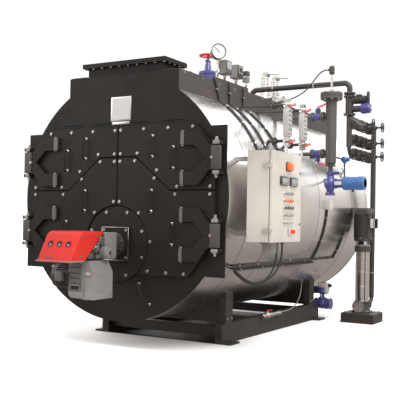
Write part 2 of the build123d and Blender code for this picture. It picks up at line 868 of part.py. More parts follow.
# Pressure switches, by their distance behind the front, width, depth and height
switch_places = (
    (900.0, 130.0, 90.0, 140.0),
    (1150.0, 120.0, 90.0, 138.0),
    (1380.0, 60.0, 60.0, 120.0),
)
switch_stem_radius = 12.0
switch_stem_height = 60.0
switch_rise = 55.0
with BuildPart() as pressure_switches:
    for switch_y, width, depth, height in switch_places:
        stem_top = (gauge_x, behind(switch_y), rail_top + switch_stem_height)
        rod((gauge_x, behind(switch_y), rail_top), stem_top, switch_stem_radius)
        low = rail_top + switch_rise
        block(
            (gauge_x - depth / 2, behind(switch_y) - width / 2, low),
            (gauge_x + depth / 2, behind(switch_y) + width / 2, low + height),
        )
keep(pressure_switches, "pressure_switches")

# Water level gauges with their connecting pipes to the drum
gauge_half_width = 46.0
gauge_depth = 50.0
gauge_body_inset = 45.0
cock_half_width = 24.0
cock_height = 60.0
cock_spindle_reach = 95.0
cock_spindle_radius = 11.0
drain_length = 140.0
drain_radius = 10.0
gauge_flange_setback = 130.0
gauge_flange_thickness = 34.0
gauge_flange_radius = 41.0
link_top_z = drum_axis_height + link_top
link_bottom_z = drum_axis_height + link_bottom
gauge_back_x = level_gauge_x - gauge_depth / 2
with BuildPart() as level_gauge_pipes:
    for level_y in level_gauge_ys:
        for link_height, link_z in ((link_top, link_top_z), (link_bottom, link_bottom_z)):
            start_x = drum_edge(link_height) - 2 * link_radius
            rod((start_x, behind(level_y), link_z), (gauge_back_x, behind(level_y), link_z), link_radius)
            flange_x = gauge_back_x - gauge_flange_setback
            flange_end = (flange_x + gauge_flange_thickness, behind(level_y), link_z)
            rod((flange_x, behind(level_y), link_z), flange_end, gauge_flange_radius)
    cut_drum()
keep(level_gauge_pipes, "level_gauge_pipes")

with BuildPart() as level_gauges:
    for level_y in level_gauge_ys:
        y = behind(level_y)
        block(
            (gauge_back_x, y - gauge_half_width, link_bottom_z + gauge_body_inset),
            (gauge_back_x + gauge_depth, y + gauge_half_width, link_top_z - gauge_body_inset),
        )
        for link_z in (link_top_z, link_bottom_z):
            block(
                (gauge_back_x, y - cock_half_width, link_z - cock_height),
                (gauge_back_x + gauge_depth, y + cock_half_width, link_z + cock_height),
            )
            spindle_end = (level_gauge_x + cock_spindle_reach, y, link_z)
            rod((level_gauge_x, y, link_z), spindle_end, cock_spindle_radius)
        drain_end = (level_gauge_x, y, link_bottom_z - drain_length)
        rod((level_gauge_x, y, link_bottom_z), drain_end, drain_radius)
keep(level_gauges, "level_gauges")

# Water column for the level probes, with flanged links to the drum
column_low = drum_axis_height + column_bottom
column_high = drum_axis_height + column_top
column_place_y = behind(column_y)
column_neck_radius = 26.0
column_neck_length = 60.0
column_taper = 40.0
column_flange_seat = 20.0
column_flange_rise = 50.0
link_pipe_radius = 22.0
link_flange_far = 230.0
link_flange_near = 110.0
link_flange_thickness = 30.0
link_flange_radius = 54.0
with BuildPart() as water_column:
    turned(
        [
            (column_neck_radius, column_low - column_neck_length),
            (column_neck_radius, column_low),
            (column_radius, column_low + column_taper),
            (column_radius, column_high - column_flange_seat),
            (column_flange_radius, column_high - column_flange_seat),
            (column_flange_radius, column_high + column_flange_rise),
        ],
        column_x,
        column_place_y,
    )
    for link_height in (column_top_link, column_bottom_link):
        link_z = drum_axis_height + link_height
        start_x = drum_edge(link_height) - 2 * link_radius
        rod((start_x, column_place_y, link_z), (column_x, column_place_y, link_z), link_pipe_radius)
        for flange_x in (column_x - link_flange_far, column_x - link_flange_near):
            flange_end = (flange_x + link_flange_thickness, column_place_y, link_z)
            rod((flange_x, column_place_y, link_z), flange_end, link_flange_radius)
    cut_drum()
keep(water_column, "water_column")

# Level probe on the column's flange, with a cable gland on the side of its head
probe_base_radius = 30.0
probe_base_height = 40.0
probe_radius = 12.0
probe_head_radius = 28.0
probe_head_height = 90.0
probe_gland_reach = 45.0
probe_gland_radius = 11.0
probe_base_z = column_high + column_flange_rise
probe_top = column_high + probe_length
with BuildPart() as level_probe:
    turned(
        [
            (probe_base_radius, probe_base_z),
            (probe_base_radius, probe_base_z + probe_base_height),
            (probe_radius, probe_base_z + probe_base_height + probe_radius),
            (probe_radius, probe_top - probe_head_height),
            (probe_head_radius, probe_top - probe_head_height),
            (probe_head_radius, probe_top),
        ],
        column_x,
        column_place_y,
    )
    gland_z = probe_top - probe_head_height / 2
    gland_end = (column_x - probe_gland_reach, column_place_y, gland_z)
    rod((column_x, column_place_y, gland_z), gland_end, probe_gland_radius)
keep(level_probe, "level_probe")

# Blowdown valve under the water column, with its actuator lying along X
blowdown_z = drum_axis_height + drum_radius - blowdown_drop
blowdown_bore_radius = 26.0
blowdown_flange_radius = 55.0
blowdown_flange_thickness = 25.0
blowdown_neck_radius = 34.0
blowdown_belly_radius = 52.0
blowdown_below = 130.0
blowdown_above = 100.0
blowdown_belly_half = 40.0
blowdown_stem_radius = 30.0
blowdown_collar_radius = 48.0
blowdown_collar_reach = 75.0
blowdown_stem_reach = 150.0
with BuildPart() as blowdown_valve:
    turned(
        [
            (blowdown_bore_radius, blowdown_z - blowdown_below),
            (blowdown_flange_radius, blowdown_z - blowdown_below),
            (blowdown_flange_radius, blowdown_z - blowdown_below + blowdown_flange_thickness),
            (blowdown_neck_radius, blowdown_z - blowdown_below + blowdown_flange_thickness),
            (blowdown_belly_radius, blowdown_z - blowdown_belly_half),
            (blowdown_belly_radius, blowdown_z + blowdown_belly_half),
            (blowdown_neck_radius, blowdown_z + blowdown_above),
            (blowdown_flange_radius, blowdown_z + blowdown_above),
            (blowdown_flange_radius, column_low - column_neck_length - seat_gap),
        ],
        column_x,
        column_place_y,
    )
    stem_end = (column_x + blowdown_stem_reach, column_place_y, blowdown_z)
    rod((column_x, column_place_y, blowdown_z), stem_end, blowdown_stem_radius)
    rod((column_x + blowdown_collar_reach, column_place_y, blowdown_z), stem_end, blowdown_collar_radius)
keep(blowdown_valve, "blowdown_valve")

actuator_radius = 72.0
actuator_edge_radius = 14.0
with BuildPart() as blowdown_actuator:
    rod(
        (column_x + blowdown_stem_reach + seat_gap, column_place_y, blowdown_z),
        (actuator_end_x, column_place_y, blowdown_z),
        actuator_radius,
    )
    fillet(blowdown_actuator.edges().filter_by(GeomType.CIRCLE), actuator_edge_radius)
keep(blowdown_actuator, "blowdown_actuator")

# Feed line from the pump to the top of the drum, with three level branches
feed_line_y = behind(feed_y)
riser_line_y = behind(riser_y)
feed_top_z = drum_axis_height + drum_radius + feed_rise
branch_zs = [drum_axis_height + drum_radius - drop for drop in feed_branch_drops]
pump_line_y = behind(pump_y)
pump_flange_reach = 160.0
pump_flange_thickness = 18.0
discharge_y = pump_line_y + pump_flange_reach
with BuildPart() as feed_pipe:
    pipe(
        [
            (0, feed_line_y, drum_axis_height + drum_radius + seat_gap),
            (0, feed_line_y, feed_top_z),
            (feed_x, feed_line_y, feed_top_z),
            (feed_x, feed_line_y, branch_zs[0]),
            (feed_x, riser_line_y, branch_zs[0]),
            (feed_x, riser_line_y, pump_height),
            (feed_x, discharge_y + seat_gap, pump_height),
        ],
        feed_pipe_radius,
        feed_bend,
    )
    for branch_z in branch_zs[1:]:
        rod((feed_x, feed_line_y, branch_z), (feed_x, riser_line_y, branch_z), feed_pipe_radius)
    rod(
        (feed_x, riser_line_y, branch_zs[0] + feed_bend),
        (feed_x, riser_line_y, branch_zs[-1] + feed_pipe_radius),
        feed_pipe_radius,
    )
keep(feed_pipe, "feed_pipe")

# Valves on the feed line: each body is a sleeve round its pipe, with the stem towards +X
valve_body_radius = 48.0
valve_flange_radius = 70.0
valve_half_length = 90.0
valve_flange_thickness = 18.0
valve_stem_length = 190.0
valve_stem_radius = 11.0
valve_bonnet_radius = 38.0


def stop_valve(y, z):
    """Add a flanged globe valve on a level branch of the feed line."""
    rod((feed_x, y - valve_half_length, z), (feed_x, y + valve_half_length, z), valve_body_radius)
    for end in (-1, 1):
        face = y + end * valve_half_length
        rod((feed_x, face, z), (feed_x, face - end * valve_flange_thickness, z), valve_flange_radius)
    rod((feed_x, y, z), (feed_x + valve_stem_length / 2, y, z), valve_bonnet_radius)
    rod((feed_x, y, z), (feed_x + valve_stem_length, y, z), valve_stem_radius)


def clear_bore(y, z):
    """Cut the pipe's bore through a valve on a level branch."""
    with Locations(Plane(origin=(feed_x, y, z), z_dir=(0, 1, 0)).location):
        Cylinder(feed_pipe_radius + seat_gap, 3 * valve_half_length, mode=Mode.SUBTRACT)


# Motor-driven control valve on the down pipe: a flanged sleeve, a stub for the valve and the drive's motor
control_valve_drop = 320.0
control_motor_drop = 213.0
elbow_flange_drop = 175.0
control_sleeve_half = 70.0
control_body_near = 150.0
control_body_far = 262.0
control_motor_length = 205.0
control_motor_radius = 44.0
control_valve_z = feed_top_z - control_valve_drop
elbow_flange_z = feed_top_z - elbow_flange_drop
control_low_z = control_valve_z - control_sleeve_half


def control_drive():
    """Add the control valve's sleeve, flanges, stub and motor on the down pipe."""
    top_z = elbow_flange_z + 3 * valve_flange_thickness
    rod((feed_x, feed_line_y, control_low_z), (feed_x, feed_line_y, top_z), valve_body_radius)
    for flange_z in (control_low_z, elbow_flange_z, elbow_flange_z + 2 * valve_flange_thickness):
        flange_top = (feed_x, feed_line_y, flange_z + valve_flange_thickness)
        rod((feed_x, feed_line_y, flange_z), flange_top, valve_flange_radius)
    stub_end = (feed_x + control_body_near, feed_line_y, control_valve_z)
    rod((feed_x, feed_line_y, control_valve_z), stub_end, valve_bonnet_radius)
    motor_height = feed_top_z - control_motor_drop
    motor_end = (feed_x + control_motor_length, feed_line_y, motor_height)
    rod((feed_x, feed_line_y, motor_height), motor_end, control_motor_radius)
    with Locations((feed_x, feed_line_y, control_valve_z)):
        Cylinder(feed_pipe_radius + seat_gap, 2 * elbow_flange_z - 2 * control_low_z, mode=Mode.SUBTRACT)


branch_valve_ys = (feed_line_y + branch_valve_inset, riser_line_y - branch_valve_inset)
with BuildPart() as feed_valves:
    for branch_z in branch_zs:
        for valve_y in branch_valve_ys:
            stop_valve(valve_y, branch_z)
            clear_bore(valve_y, branch_z)
    control_drive()
keep(feed_valves, "feed_valves")

# Blue valves: the control valve with its hand lever, and a stop valve on each link of the water column
control_body_radius = 58.0
lever_rise = 190.0
lever_width = 22.0
link_valve_radius = 46.0
link_stem_radius = 28.0
link_stem_length = 90.0
with BuildPart() as link_valves:
    rod(
        (feed_x + control_body_near + seat_gap, feed_line_y, control_valve_z),
        (feed_x + control_body_far, feed_line_y, control_valve_z),
        control_body_radius,
    )
    fillet(link_valves.edges().group_by(Axis.X)[-1], control_body_radius / 3)
    lever_x = feed_x + control_body_far - 2 * lever_width
    block(
        (lever_x, feed_line_y - lever_width, control_valve_z),
        (lever_x + lever_width, feed_line_y + lever_width, control_valve_z + lever_rise),
    )
    for link_height, stem_side in ((column_top_link, 1), (column_bottom_link, -1)):
        link_z = drum_axis_height + link_height
        valve_low_x = column_x - link_flange_far + link_flange_thickness + seat_gap
        valve_high_x = column_x - link_flange_near - seat_gap
        valve_x = (valve_low_x + valve_high_x) / 2
        rod((valve_low_x, column_place_y, link_z), (valve_high_x, column_place_y, link_z), link_valve_radius)
        stem_end = (valve_x, column_place_y, link_z + stem_side * link_stem_length)
        rod((valve_x, column_place_y, link_z), stem_end, link_stem_radius)
        with Locations(Plane(origin=(valve_x, column_place_y, link_z), z_dir=(1, 0, 0)).location):
            Cylinder(link_pipe_radius + seat_gap, 4 * link_valve_radius, mode=Mode.SUBTRACT)
keep(link_valves, "link_valves")

feed_wheel_radius = 58.0
feed_wheel_rim = 7.0
feed_wheel_hub = 14.0
with BuildPart() as feed_valve_wheels:
    for branch_z in branch_zs:
        for valve_y in branch_valve_ys:
            wheel_centre = (feed_x + valve_stem_length + 2 * feed_wheel_rim, valve_y, branch_z)
            wheel(wheel_centre, (1, 0, 0), feed_wheel_radius, feed_wheel_rim, feed_wheel_hub)
keep(feed_valve_wheels, "feed_valve_wheels")

# Feed pump on its plinth: foot, casing, polished sleeve, lantern and motor
plinth_chamfer = 12.0
pump_foot_radius = 130.0
pump_foot_height = 20.0
pump_casing_radius = 95.0
pump_casing_top = 250.0
pump_sleeve_radius = 75.0
pump_sleeve_top = 880.0
pump_step = 6.0
pump_head_radius = 100.0
pump_head_top = 950.0
pump_lantern_radius = 70.0
pump_nozzle_radius = 34.0
pump_flange_radius = 75.0
pump_pitch_radius = 55.0
pump_hole_radius = 9.0
pump_hole_count = 4
motor_bottom = 1028.0
suction_y = pump_line_y - pump_flange_reach
with BuildPart() as pump_plinth:
    block(
        (feed_x - plinth_width / 2, pump_line_y - plinth_depth / 2, 0),
        (feed_x + plinth_width / 2, pump_line_y + plinth_depth / 2, plinth_height),
    )
    chamfer(pump_plinth.edges().group_by(Axis.Z)[-1], plinth_chamfer)
keep(pump_plinth, "pump_plinth")

with BuildPart() as pump_body:
    turned(
        [
            (pump_foot_radius, plinth_height),
            (pump_foot_radius, plinth_height + pump_foot_height),
            (pump_casing_radius, plinth_height + pump_foot_height + pump_step),
            (pump_casing_radius, pump_casing_top),
            (pump_sleeve_radius, pump_casing_top + pump_step),
            (pump_sleeve_radius, pump_sleeve_top),
            (pump_head_radius, pump_sleeve_top + pump_step),
            (pump_head_radius, pump_head_top),
            (pump_lantern_radius, pump_head_top + pump_step),
            (pump_lantern_radius, motor_bottom),
        ],
        feed_x,
        pump_line_y,
    )
    for face_y, inward in ((suction_y, 1), (discharge_y, -1)):
        flange_face = (feed_x, face_y, pump_height)
        rod((feed_x, pump_line_y, pump_height), flange_face, pump_nozzle_radius)
        rod(flange_face, (feed_x, face_y + inward * pump_flange_thickness, pump_height), pump_flange_radius)
    suction_centre = (feed_x, suction_y + pump_flange_thickness / 2, pump_height)
    bore_depth = 2 * pump_flange_thickness
    flange_holes(suction_centre, (0, -1, 0), pump_pitch_radius, pump_hole_count, pump_hole_radius, bore_depth)
keep(pump_body, "pump_body")

motor_top = 1428.0
motor_radius = 105.0
motor_flange_rim = 8.0
motor_flange_height = 18.0
cowl_height = 70.0
terminal_half_width = 60.0
terminal_reach = 65.0
terminal_sink = 25.0
terminal_low = 150.0
terminal_high = 270.0
with BuildPart() as pump_motor:
    turned(
        [
            (motor_radius + motor_flange_rim, motor_bottom),
            (motor_radius + motor_flange_rim, motor_bottom + motor_flange_height),
            (motor_radius, motor_bottom + motor_flange_height),
            (motor_radius, motor_top - cowl_height),
        ],
        feed_x,
        pump_line_y,
    )
    terminal_near_x = feed_x + motor_radius - terminal_sink
    terminal_far_x = feed_x + motor_radius + terminal_reach
    block(
        (terminal_near_x, pump_line_y - terminal_half_width, motor_bottom + terminal_low),
        (terminal_far_x, pump_line_y + terminal_half_width, motor_bottom + terminal_high),
    )
    block(
        (feed_x - motor_radius, pump_line_y - motor_radius, motor_top - cowl_height),
        (feed_x + motor_radius, pump_line_y + motor_radius, motor_top),
    )
keep(pump_motor, "pump_motor")

# Control cabinet on brackets, with a hinged door that faces +X
cabinet_front_x = cabinet_back + cabinet_depth
cabinet_low_y = behind(cabinet_front_y)
cabinet_high_y = cabinet_low_y + cabinet_width
cabinet_top = cabinet_bottom + cabinet_height
bracket_inset = 70.0
bracket_size = 40.0
cabinet_gland_inset = 110.0
cabinet_gland_setbacks = (418.0, 538.0)
cabinet_gland_reach = 30.0
cabinet_gland_radius = 14.0
with BuildPart() as control_cabinet:
    block((cabinet_back, cabinet_low_y, cabinet_bottom), (cabinet_front_x, cabinet_high_y, cabinet_top))
    block(
        (cabinet_back + cabinet_wall, cabinet_low_y + cabinet_wall, cabinet_bottom + cabinet_wall),
        (cabinet_front_x + cabinet_wall, cabinet_high_y - cabinet_wall, cabinet_top - cabinet_wall),
        mode=Mode.SUBTRACT,
    )
    for gland_setback in cabinet_gland_setbacks:
        gland_x = cabinet_back + cabinet_gland_inset
        gland_y = cabinet_low_y + gland_setback
        gland_end = (gland_x, gland_y, cabinet_bottom - cabinet_gland_reach)
        rod((gland_x, gland_y, cabinet_bottom), gland_end, cabinet_gland_radius)
keep(control_cabinet, "control_cabinet")

with BuildPart() as cabinet_brackets:
    for bracket_y in (cabinet_low_y + bracket_inset, cabinet_high_y - bracket_inset):
        for bracket_z in (cabinet_bottom + bracket_inset, cabinet_top - bracket_inset):
            block(
                (drum_radius / 2, bracket_y - bracket_size / 2, bracket_z - bracket_size / 2),
                (cabinet_back, bracket_y + bracket_size / 2, bracket_z + bracket_size / 2),
            )
    cut_drum()
keep(cabinet_brackets, "cabinet_brackets")

door_back_x = cabinet_front_x + cabinet_door_gap
door_front_x = door_back_x + cabinet_door_thickness
knuckle_radius = 8.0
knuckle_length = 34.0
knuckle_pin_radius = 4.5
knuckle_play = 0.4
knuckle_offset = 14.0
knuckle_inset = 1.0
cabinet_hinge_inset = 120.0
cabinet_door_chamfer = 3.0
strap_half_thickness = 4.0
strap_far_reach = 60.0
strap_near_reach = 15.0
cabinet_hinge_x = door_front_x - knuckle_radius - knuckle_inset
cabinet_hinge_y = cabinet_low_y - knuckle_offset
cabinet_hinge_zs = (cabinet_bottom + cabinet_hinge_inset, cabinet_top - cabinet_hinge_inset)
with BuildPart() as cabinet_door:
    block((door_back_x, cabinet_low_y, cabinet_bottom), (door_front_x, cabinet_high_y, cabinet_top))
    chamfer(cabinet_door.faces().sort_by(Axis.X)[-1].edges(), cabinet_door_chamfer)
    for hinge_z in cabinet_hinge_zs:
        knuckle_low = (cabinet_hinge_x, cabinet_hinge_y, hinge_z)
        knuckle_high = (cabinet_hinge_x, cabinet_hinge_y, hinge_z + knuckle_length)
        rod(knuckle_low, knuckle_high, knuckle_radius)
        block(
            (cabinet_hinge_x - knuckle_radius / 2, cabinet_hinge_y, hinge_z),
            (cabinet_hinge_x + knuckle_radius / 2, cabinet_low_y + knuckle_radius, hinge_z + knuckle_length),
        )
        with Locations(knuckle_high):
            Cylinder(knuckle_pin_radius + knuckle_play, 3 * knuckle_length, mode=Mode.SUBTRACT)
keep(cabinet_door, "cabinet_door")

# Cabinet side of the hinges: a strap, a lower knuckle and its pin
with BuildPart() as cabinet_hinges:
    for hinge_z in cabinet_hinge_zs:
        strap_low_z = hinge_z - knuckle_length
        knuckle_low = (cabinet_hinge_x, cabinet_hinge_y, strap_low_z)
        rod(knuckle_low, (cabinet_hinge_x, cabinet_hinge_y, hinge_z - knuckle_play), knuckle_radius)
        rod(knuckle_low, (cabinet_hinge_x, cabinet_hinge_y, hinge_z + knuckle_length), knuckle_pin_radius)
        block(
            (cabinet_front_x - strap_far_reach, cabinet_hinge_y - strap_half_thickness, strap_low_z),
            (cabinet_hinge_x, cabinet_hinge_y + strap_half_thickness, hinge_z - knuckle_play),
        )
        block(
            (cabinet_front_x - strap_far_reach, cabinet_hinge_y, strap_low_z),
            (cabinet_front_x - strap_near_reach, cabinet_low_y, hinge_z - knuckle_play),
        )
keep(cabinet_hinges, "cabinet_hinges")

# Lamp, displays, rows of push buttons and the main switch on the cabinet door
controls_shift = 20.0
lamp_drop = 129.0
lamp_width = 100.0
lamp_height = 66.0
display_drop = 265.0
display_width = 150.0
display_height = 76.0
display_spread = 106.0
button_drop = 375.0
button_pitch_y = 55.0
button_pitch_z = 66.0
button_columns = 4
button_rows = 5
main_switch_rise = 96.0
main_switch_width = 84.0
main_switch_height = 46.0
knob_radius = 18.0
control_reach = 16.0
button_radius = 12.0
with BuildPart() as cabinet_controls:
    controls_y = (cabinet_low_y + cabinet_high_y) / 2 + controls_shift
    lamp_z = cabinet_top - lamp_drop
    block(
        (door_front_x, controls_y - lamp_width / 2, lamp_z - lamp_height / 2),
        (door_front_x + 2 * control_reach, controls_y + lamp_width / 2, lamp_z + lamp_height / 2),
    )
    display_z = cabinet_top - display_drop
    for display_y in (controls_y - display_spread, controls_y + display_spread):
        block(
            (door_front_x, display_y - display_width / 2, display_z - display_height / 2),
            (door_front_x + control_reach, display_y + display_width / 2, display_z + display_height / 2),
        )
    for row in range(button_rows):
        for column in range(button_columns):
            button_y = controls_y + (column - (button_columns - 1) / 2) * button_pitch_y
            button_z = cabinet_top - button_drop - row * button_pitch_z
            button_end = (door_front_x + control_reach, button_y, button_z)
            rod((door_front_x, button_y, button_z), button_end, button_radius)
    knob_z = cabinet_bottom + main_switch_rise
    knob_y = controls_y + display_spread / 2
    block(
        (door_front_x, knob_y - main_switch_width / 2, knob_z - main_switch_height / 2),
        (door_front_x + control_reach, knob_y + main_switch_width / 2, knob_z + main_switch_height / 2),
    )
    rod((door_front_x, knob_y, knob_z), (door_front_x + 3 * control_reach, knob_y, knob_z), knob_radius)
keep(cabinet_controls, "cabinet_controls")


# Conduits held close against the drum
conduit_radius = 10.0
conduit_ring = drum_radius + conduit_radius + seat_gap


def conduit_arc(y, top_angle, bottom_angle):
    """Add a conduit that runs round the drum between two angles above the horizontal."""
    with BuildLine(front_plane(y), mode=Mode.PRIVATE) as route:
        CenterArc((0, 0), conduit_ring, bottom_angle, top_angle - bottom_angle)
    with BuildSketch(Plane(origin=route.line @ 0, z_dir=route.line % 0), mode=Mode.PRIVATE) as section:
        Circle(conduit_radius)
    sweep(section.sketch, path=route.line)


low_run_angles = (-32.0, -34.2)
low_run_fronts = (390.0, 470.0)
low_run_setbacks = (780.0, 1400.0)
low_run_elbow = 60.0
elbow_reach = 86.0
elbow_drop = 64.5
gauge_conduit_ys = (780.0, 1000.0, 1300.0)
gauge_conduit_angles = (56.0, 24.0)
side_conduit_setbacks = (1500.0, 810.0)
side_conduit_angles = (-2.5, -14.0)
with BuildPart() as conduits:
    for conduit_y in gauge_conduit_ys:
        conduit_arc(behind(conduit_y), *gauge_conduit_angles)
    for setback, start_angle in zip(side_conduit_setbacks, side_conduit_angles):
        conduit_arc(behind(drum_length - setback), start_angle, low_run_angles[0])
    for angle, run_front, run_setback in zip(low_run_angles, low_run_fronts, low_run_setbacks):
        run_x = conduit_ring * cos(radians(angle))
        run_z = drum_axis_height + conduit_ring * sin(radians(angle))
        pipe(
            [
                (run_x + elbow_reach, behind(run_front), run_z - elbow_drop),
                (run_x, behind(run_front), run_z),
                (run_x, behind(drum_length - run_setback), run_z),
            ],
            conduit_radius,
            low_run_elbow,
        )
keep(conduits, "conduits")

# Free cables: two loops from the cabinet's glands to the low conduits, and one from the probe to the deck
cable_radius = 9.0
arc_share = 0.45
probe_cable_radius = 7.0
front_cable_route = [
    (1390.0, -1420.0, 1017.0),
    (1390.0, -1420.0, 938.0),
    (1385.0, -1430.0, 858.0),
    (1371.0, -1454.0, 784.0),
    (1346.0, -1490.0, 722.0),
    (1310.0, -1534.0, 680.0),
    (1268.0, -1578.0, 662.0),
    (1224.0, -1614.0, 666.0),
    (1182.0, -1634.0, 684.0),
    (1142.0, -1640.0, 711.0),
    (1104.0, -1640.0, 739.5),
]
rear_cable_route = [
    (1390.0, -1300.0, 1017.0),
    (1390.0, -1300.0, 940.0),
    (1384.0, -1312.0, 862.0),
    (1368.0, -1340.0, 790.0),
    (1340.0, -1382.0, 728.0),
    (1300.0, -1432.0, 680.0),
    (1250.0, -1484.0, 652.0),
    (1198.0, -1528.0, 646.0),
    (1155.0, -1554.0, 656.0),
    (1114.0, -1560.0, 675.0),
    (1079.0, -1560.0, 701.0),
]
probe_cable_route = [
    (1350.0, -65.0, 2919.0),
    (1308.0, -65.0, 2919.0),
    (1266.0, -68.0, 2899.0),
    (1226.0, -74.0, 2858.0),
    (1180.0, -83.0, 2790.0),
    (1116.0, -94.0, 2712.0),
    (1020.0, -108.0, 2648.0),
    (908.0, -124.0, 2606.0),
    (800.0, -140.0, 2580.0),
    (724.0, -152.0, 2569.0),
    (665.0, -152.0, 2569.0),
]


def cable(route, radius, name):
    """Make a free cable along a route, with the largest arcs that its runs allow."""
    points = [Vector(*point) for point in route]
    bends = []
    for before, here, after in zip(points, points[1:], points[2:]):
        turn = radians((here - before).get_angle(after - here))
        shorter_run = min((here - before).length, (after - here).length)
        bends.append(arc_share * shorter_run / tan(turn / 2))
    print(name, "bend radii", [round(bend) for bend in bends])
    with BuildPart() as tube:
        with BuildLine() as line:
            FilletPolyline(*points, radius=bends)
        with BuildSketch(Plane(origin=line.line @ 0, z_dir=line.line % 0)):
            Circle(radius)
        sweep(path=line.line)
    keep(tube, name)


cable(front_cable_route, cable_radius, "front_cable")
cable(rear_cable_route, cable_radius, "rear_cable")
cable(probe_cable_route, probe_cable_radius, "probe_cable")

# Skids: two channel beams with cross members and drilled foot plates
cross_half_depth = 40.0
cross_low = 60.0
cross_high = 160.0
with BuildPart() as skid_frame:
    for side in (-1, 1):
        near_x, far_x = sorted((side * skid_inner_x, side * skid_outer_x))
        block((near_x, behind(skid_front), 0), (far_x, behind(skid_rear), skid_height))
        hollow_far = side * (skid_outer_x - skid_web)
        hollow_near = side * (skid_inner_x - skid_web)
        low_x, high_x = sorted((hollow_near, hollow_far))
        block(
            (low_x, behind(skid_front) - skid_web, skid_web),
            (high_x, behind(skid_rear) + skid_web, skid_height - skid_web),
            mode=Mode.SUBTRACT,
        )
        for foot_y in (behind(skid_front), behind(skid_rear) - foot_length):
            foot_near, foot_far = sorted((side * skid_inner_x, side * (skid_outer_x + foot_reach)))
            block((foot_near, foot_y, 0), (foot_far, foot_y + foot_length, foot_thickness))
    for saddle_y in saddle_ys:
        block(
            (-skid_outer_x + skid_web, behind(saddle_y) - cross_half_depth, cross_low),
            (skid_outer_x - skid_web, behind(saddle_y) + cross_half_depth, cross_high),
        )
    anchor_ys = (behind(skid_front) + foot_length / 2, behind(skid_rear) - foot_length / 2)
    for foot_y in anchor_ys:
        for side in (-1, 1):
            with Locations((side * anchor_x, foot_y, 0)):
                Cylinder(anchor_hole_radius, 4 * foot_thickness, mode=Mode.SUBTRACT)
keep(skid_frame, "skid_frame")

# Saddles that carry the drum on the skids
with BuildPart() as saddles:
    for saddle_y in saddle_ys:
        block(
            (-skid_outer_x, behind(saddle_y) - saddle_plate / 2, skid_height),
            (skid_outer_x, behind(saddle_y) + saddle_plate / 2, drum_axis_height / 2),
        )
        for side in (-1, 1):
            near_x, far_x = sorted((side * skid_inner_x, side * skid_outer_x))
            block(
                (near_x, behind(saddle_y) - saddle_width / 2, skid_height),
                (far_x, behind(saddle_y) + saddle_width / 2, drum_axis_height / 2),
            )
    cut_drum(0)
keep(saddles, "saddles")

# Bottom blowdown valve behind the right skid, on a stub from the drum's underside, with its drive on top
bottom_stub_x = 420.0
bottom_valve_z = 190.0
bottom_valve_setback = 500.0
bottom_pipe_radius = 30.0
bottom_flange_radius = 72.0
bottom_flange_thickness = 18.0
bottom_body_near = 690.0
bottom_body_far = 840.0
bottom_body_radius = 55.0
bottom_outlet_x = 890.0
bottom_drive_rise = 140.0
bottom_drive_height = 70.0
bottom_y = behind(drum_length - bottom_valve_setback)
with BuildPart() as bottom_blowdown:
    rod(
        (bottom_stub_x, bottom_y, drum_axis_height - drum_edge(bottom_stub_x) + 2 * bottom_pipe_radius),
        (bottom_stub_x, bottom_y, bottom_valve_z),
        bottom_pipe_radius,
    )
    with Locations((bottom_stub_x, bottom_y, bottom_valve_z)):
        Sphere(bottom_pipe_radius)
    corner = (bottom_stub_x, bottom_y, bottom_valve_z)
    rod(corner, (bottom_outlet_x, bottom_y, bottom_valve_z), bottom_pipe_radius)
    for flange_x in (bottom_body_near, bottom_body_far, bottom_outlet_x):
        rod(
            (flange_x - bottom_flange_thickness, bottom_y, bottom_valve_z),
            (flange_x, bottom_y, bottom_valve_z),
            bottom_flange_radius,
        )
    body_end = (bottom_body_far, bottom_y, bottom_valve_z)
    rod((bottom_body_near, bottom_y, bottom_valve_z), body_end, bottom_body_radius)
    drive_x = (bottom_body_near + bottom_body_far) / 2
    drive_seat = (drive_x, bottom_y, bottom_valve_z + bottom_drive_rise)
    drive_top = (drive_x, bottom_y, bottom_valve_z + bottom_drive_rise + bottom_drive_height)
    rod((drive_x, bottom_y, bottom_valve_z), drive_seat, bottom_pipe_radius)
    rod(drive_seat, drive_top, bottom_flange_radius)
    cut_drum()
keep(bottom_blowdown, "bottom_blowdown")
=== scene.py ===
"""Looks of a fire-tube steam boiler: finishes for its solids and the small pieces they carry."""

import json
from math import asin, cos, degrees, pi, radians, remainder, sin, sqrt

import bmesh
import bpy
from bpy.props import FloatProperty, FloatVectorProperty, PointerProperty
from mathutils import Matrix, Vector


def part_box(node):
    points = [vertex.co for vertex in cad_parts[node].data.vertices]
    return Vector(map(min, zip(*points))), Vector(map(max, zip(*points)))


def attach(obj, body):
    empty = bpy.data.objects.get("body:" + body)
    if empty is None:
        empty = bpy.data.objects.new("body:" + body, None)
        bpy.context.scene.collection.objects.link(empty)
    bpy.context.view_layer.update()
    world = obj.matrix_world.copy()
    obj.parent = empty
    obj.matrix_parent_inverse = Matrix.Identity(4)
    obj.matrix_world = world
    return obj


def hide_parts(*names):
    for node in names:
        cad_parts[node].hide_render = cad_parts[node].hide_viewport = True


bl_info = {
    "name": "Boiler Dresser",
    "version": (1, 0, 0),
    "blender": (4, 5, 0),
    "location": "View3D > Sidebar > Boiler",
    "description": "Adds finishes and small fittings to a packed fire-tube boiler",
    "category": "Object",
}

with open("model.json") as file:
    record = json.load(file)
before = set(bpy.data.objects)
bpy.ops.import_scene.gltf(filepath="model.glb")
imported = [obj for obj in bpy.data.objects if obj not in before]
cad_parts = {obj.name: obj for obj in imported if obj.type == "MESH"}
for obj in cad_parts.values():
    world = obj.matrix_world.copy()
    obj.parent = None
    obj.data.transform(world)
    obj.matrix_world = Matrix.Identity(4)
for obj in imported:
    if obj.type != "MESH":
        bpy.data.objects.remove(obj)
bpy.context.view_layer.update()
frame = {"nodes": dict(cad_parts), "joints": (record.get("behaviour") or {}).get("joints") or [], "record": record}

BOXES = {}


def box_of(node):
    """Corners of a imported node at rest, read once."""
    if node not in BOXES:
        BOXES[node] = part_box(node)
    return BOXES[node]


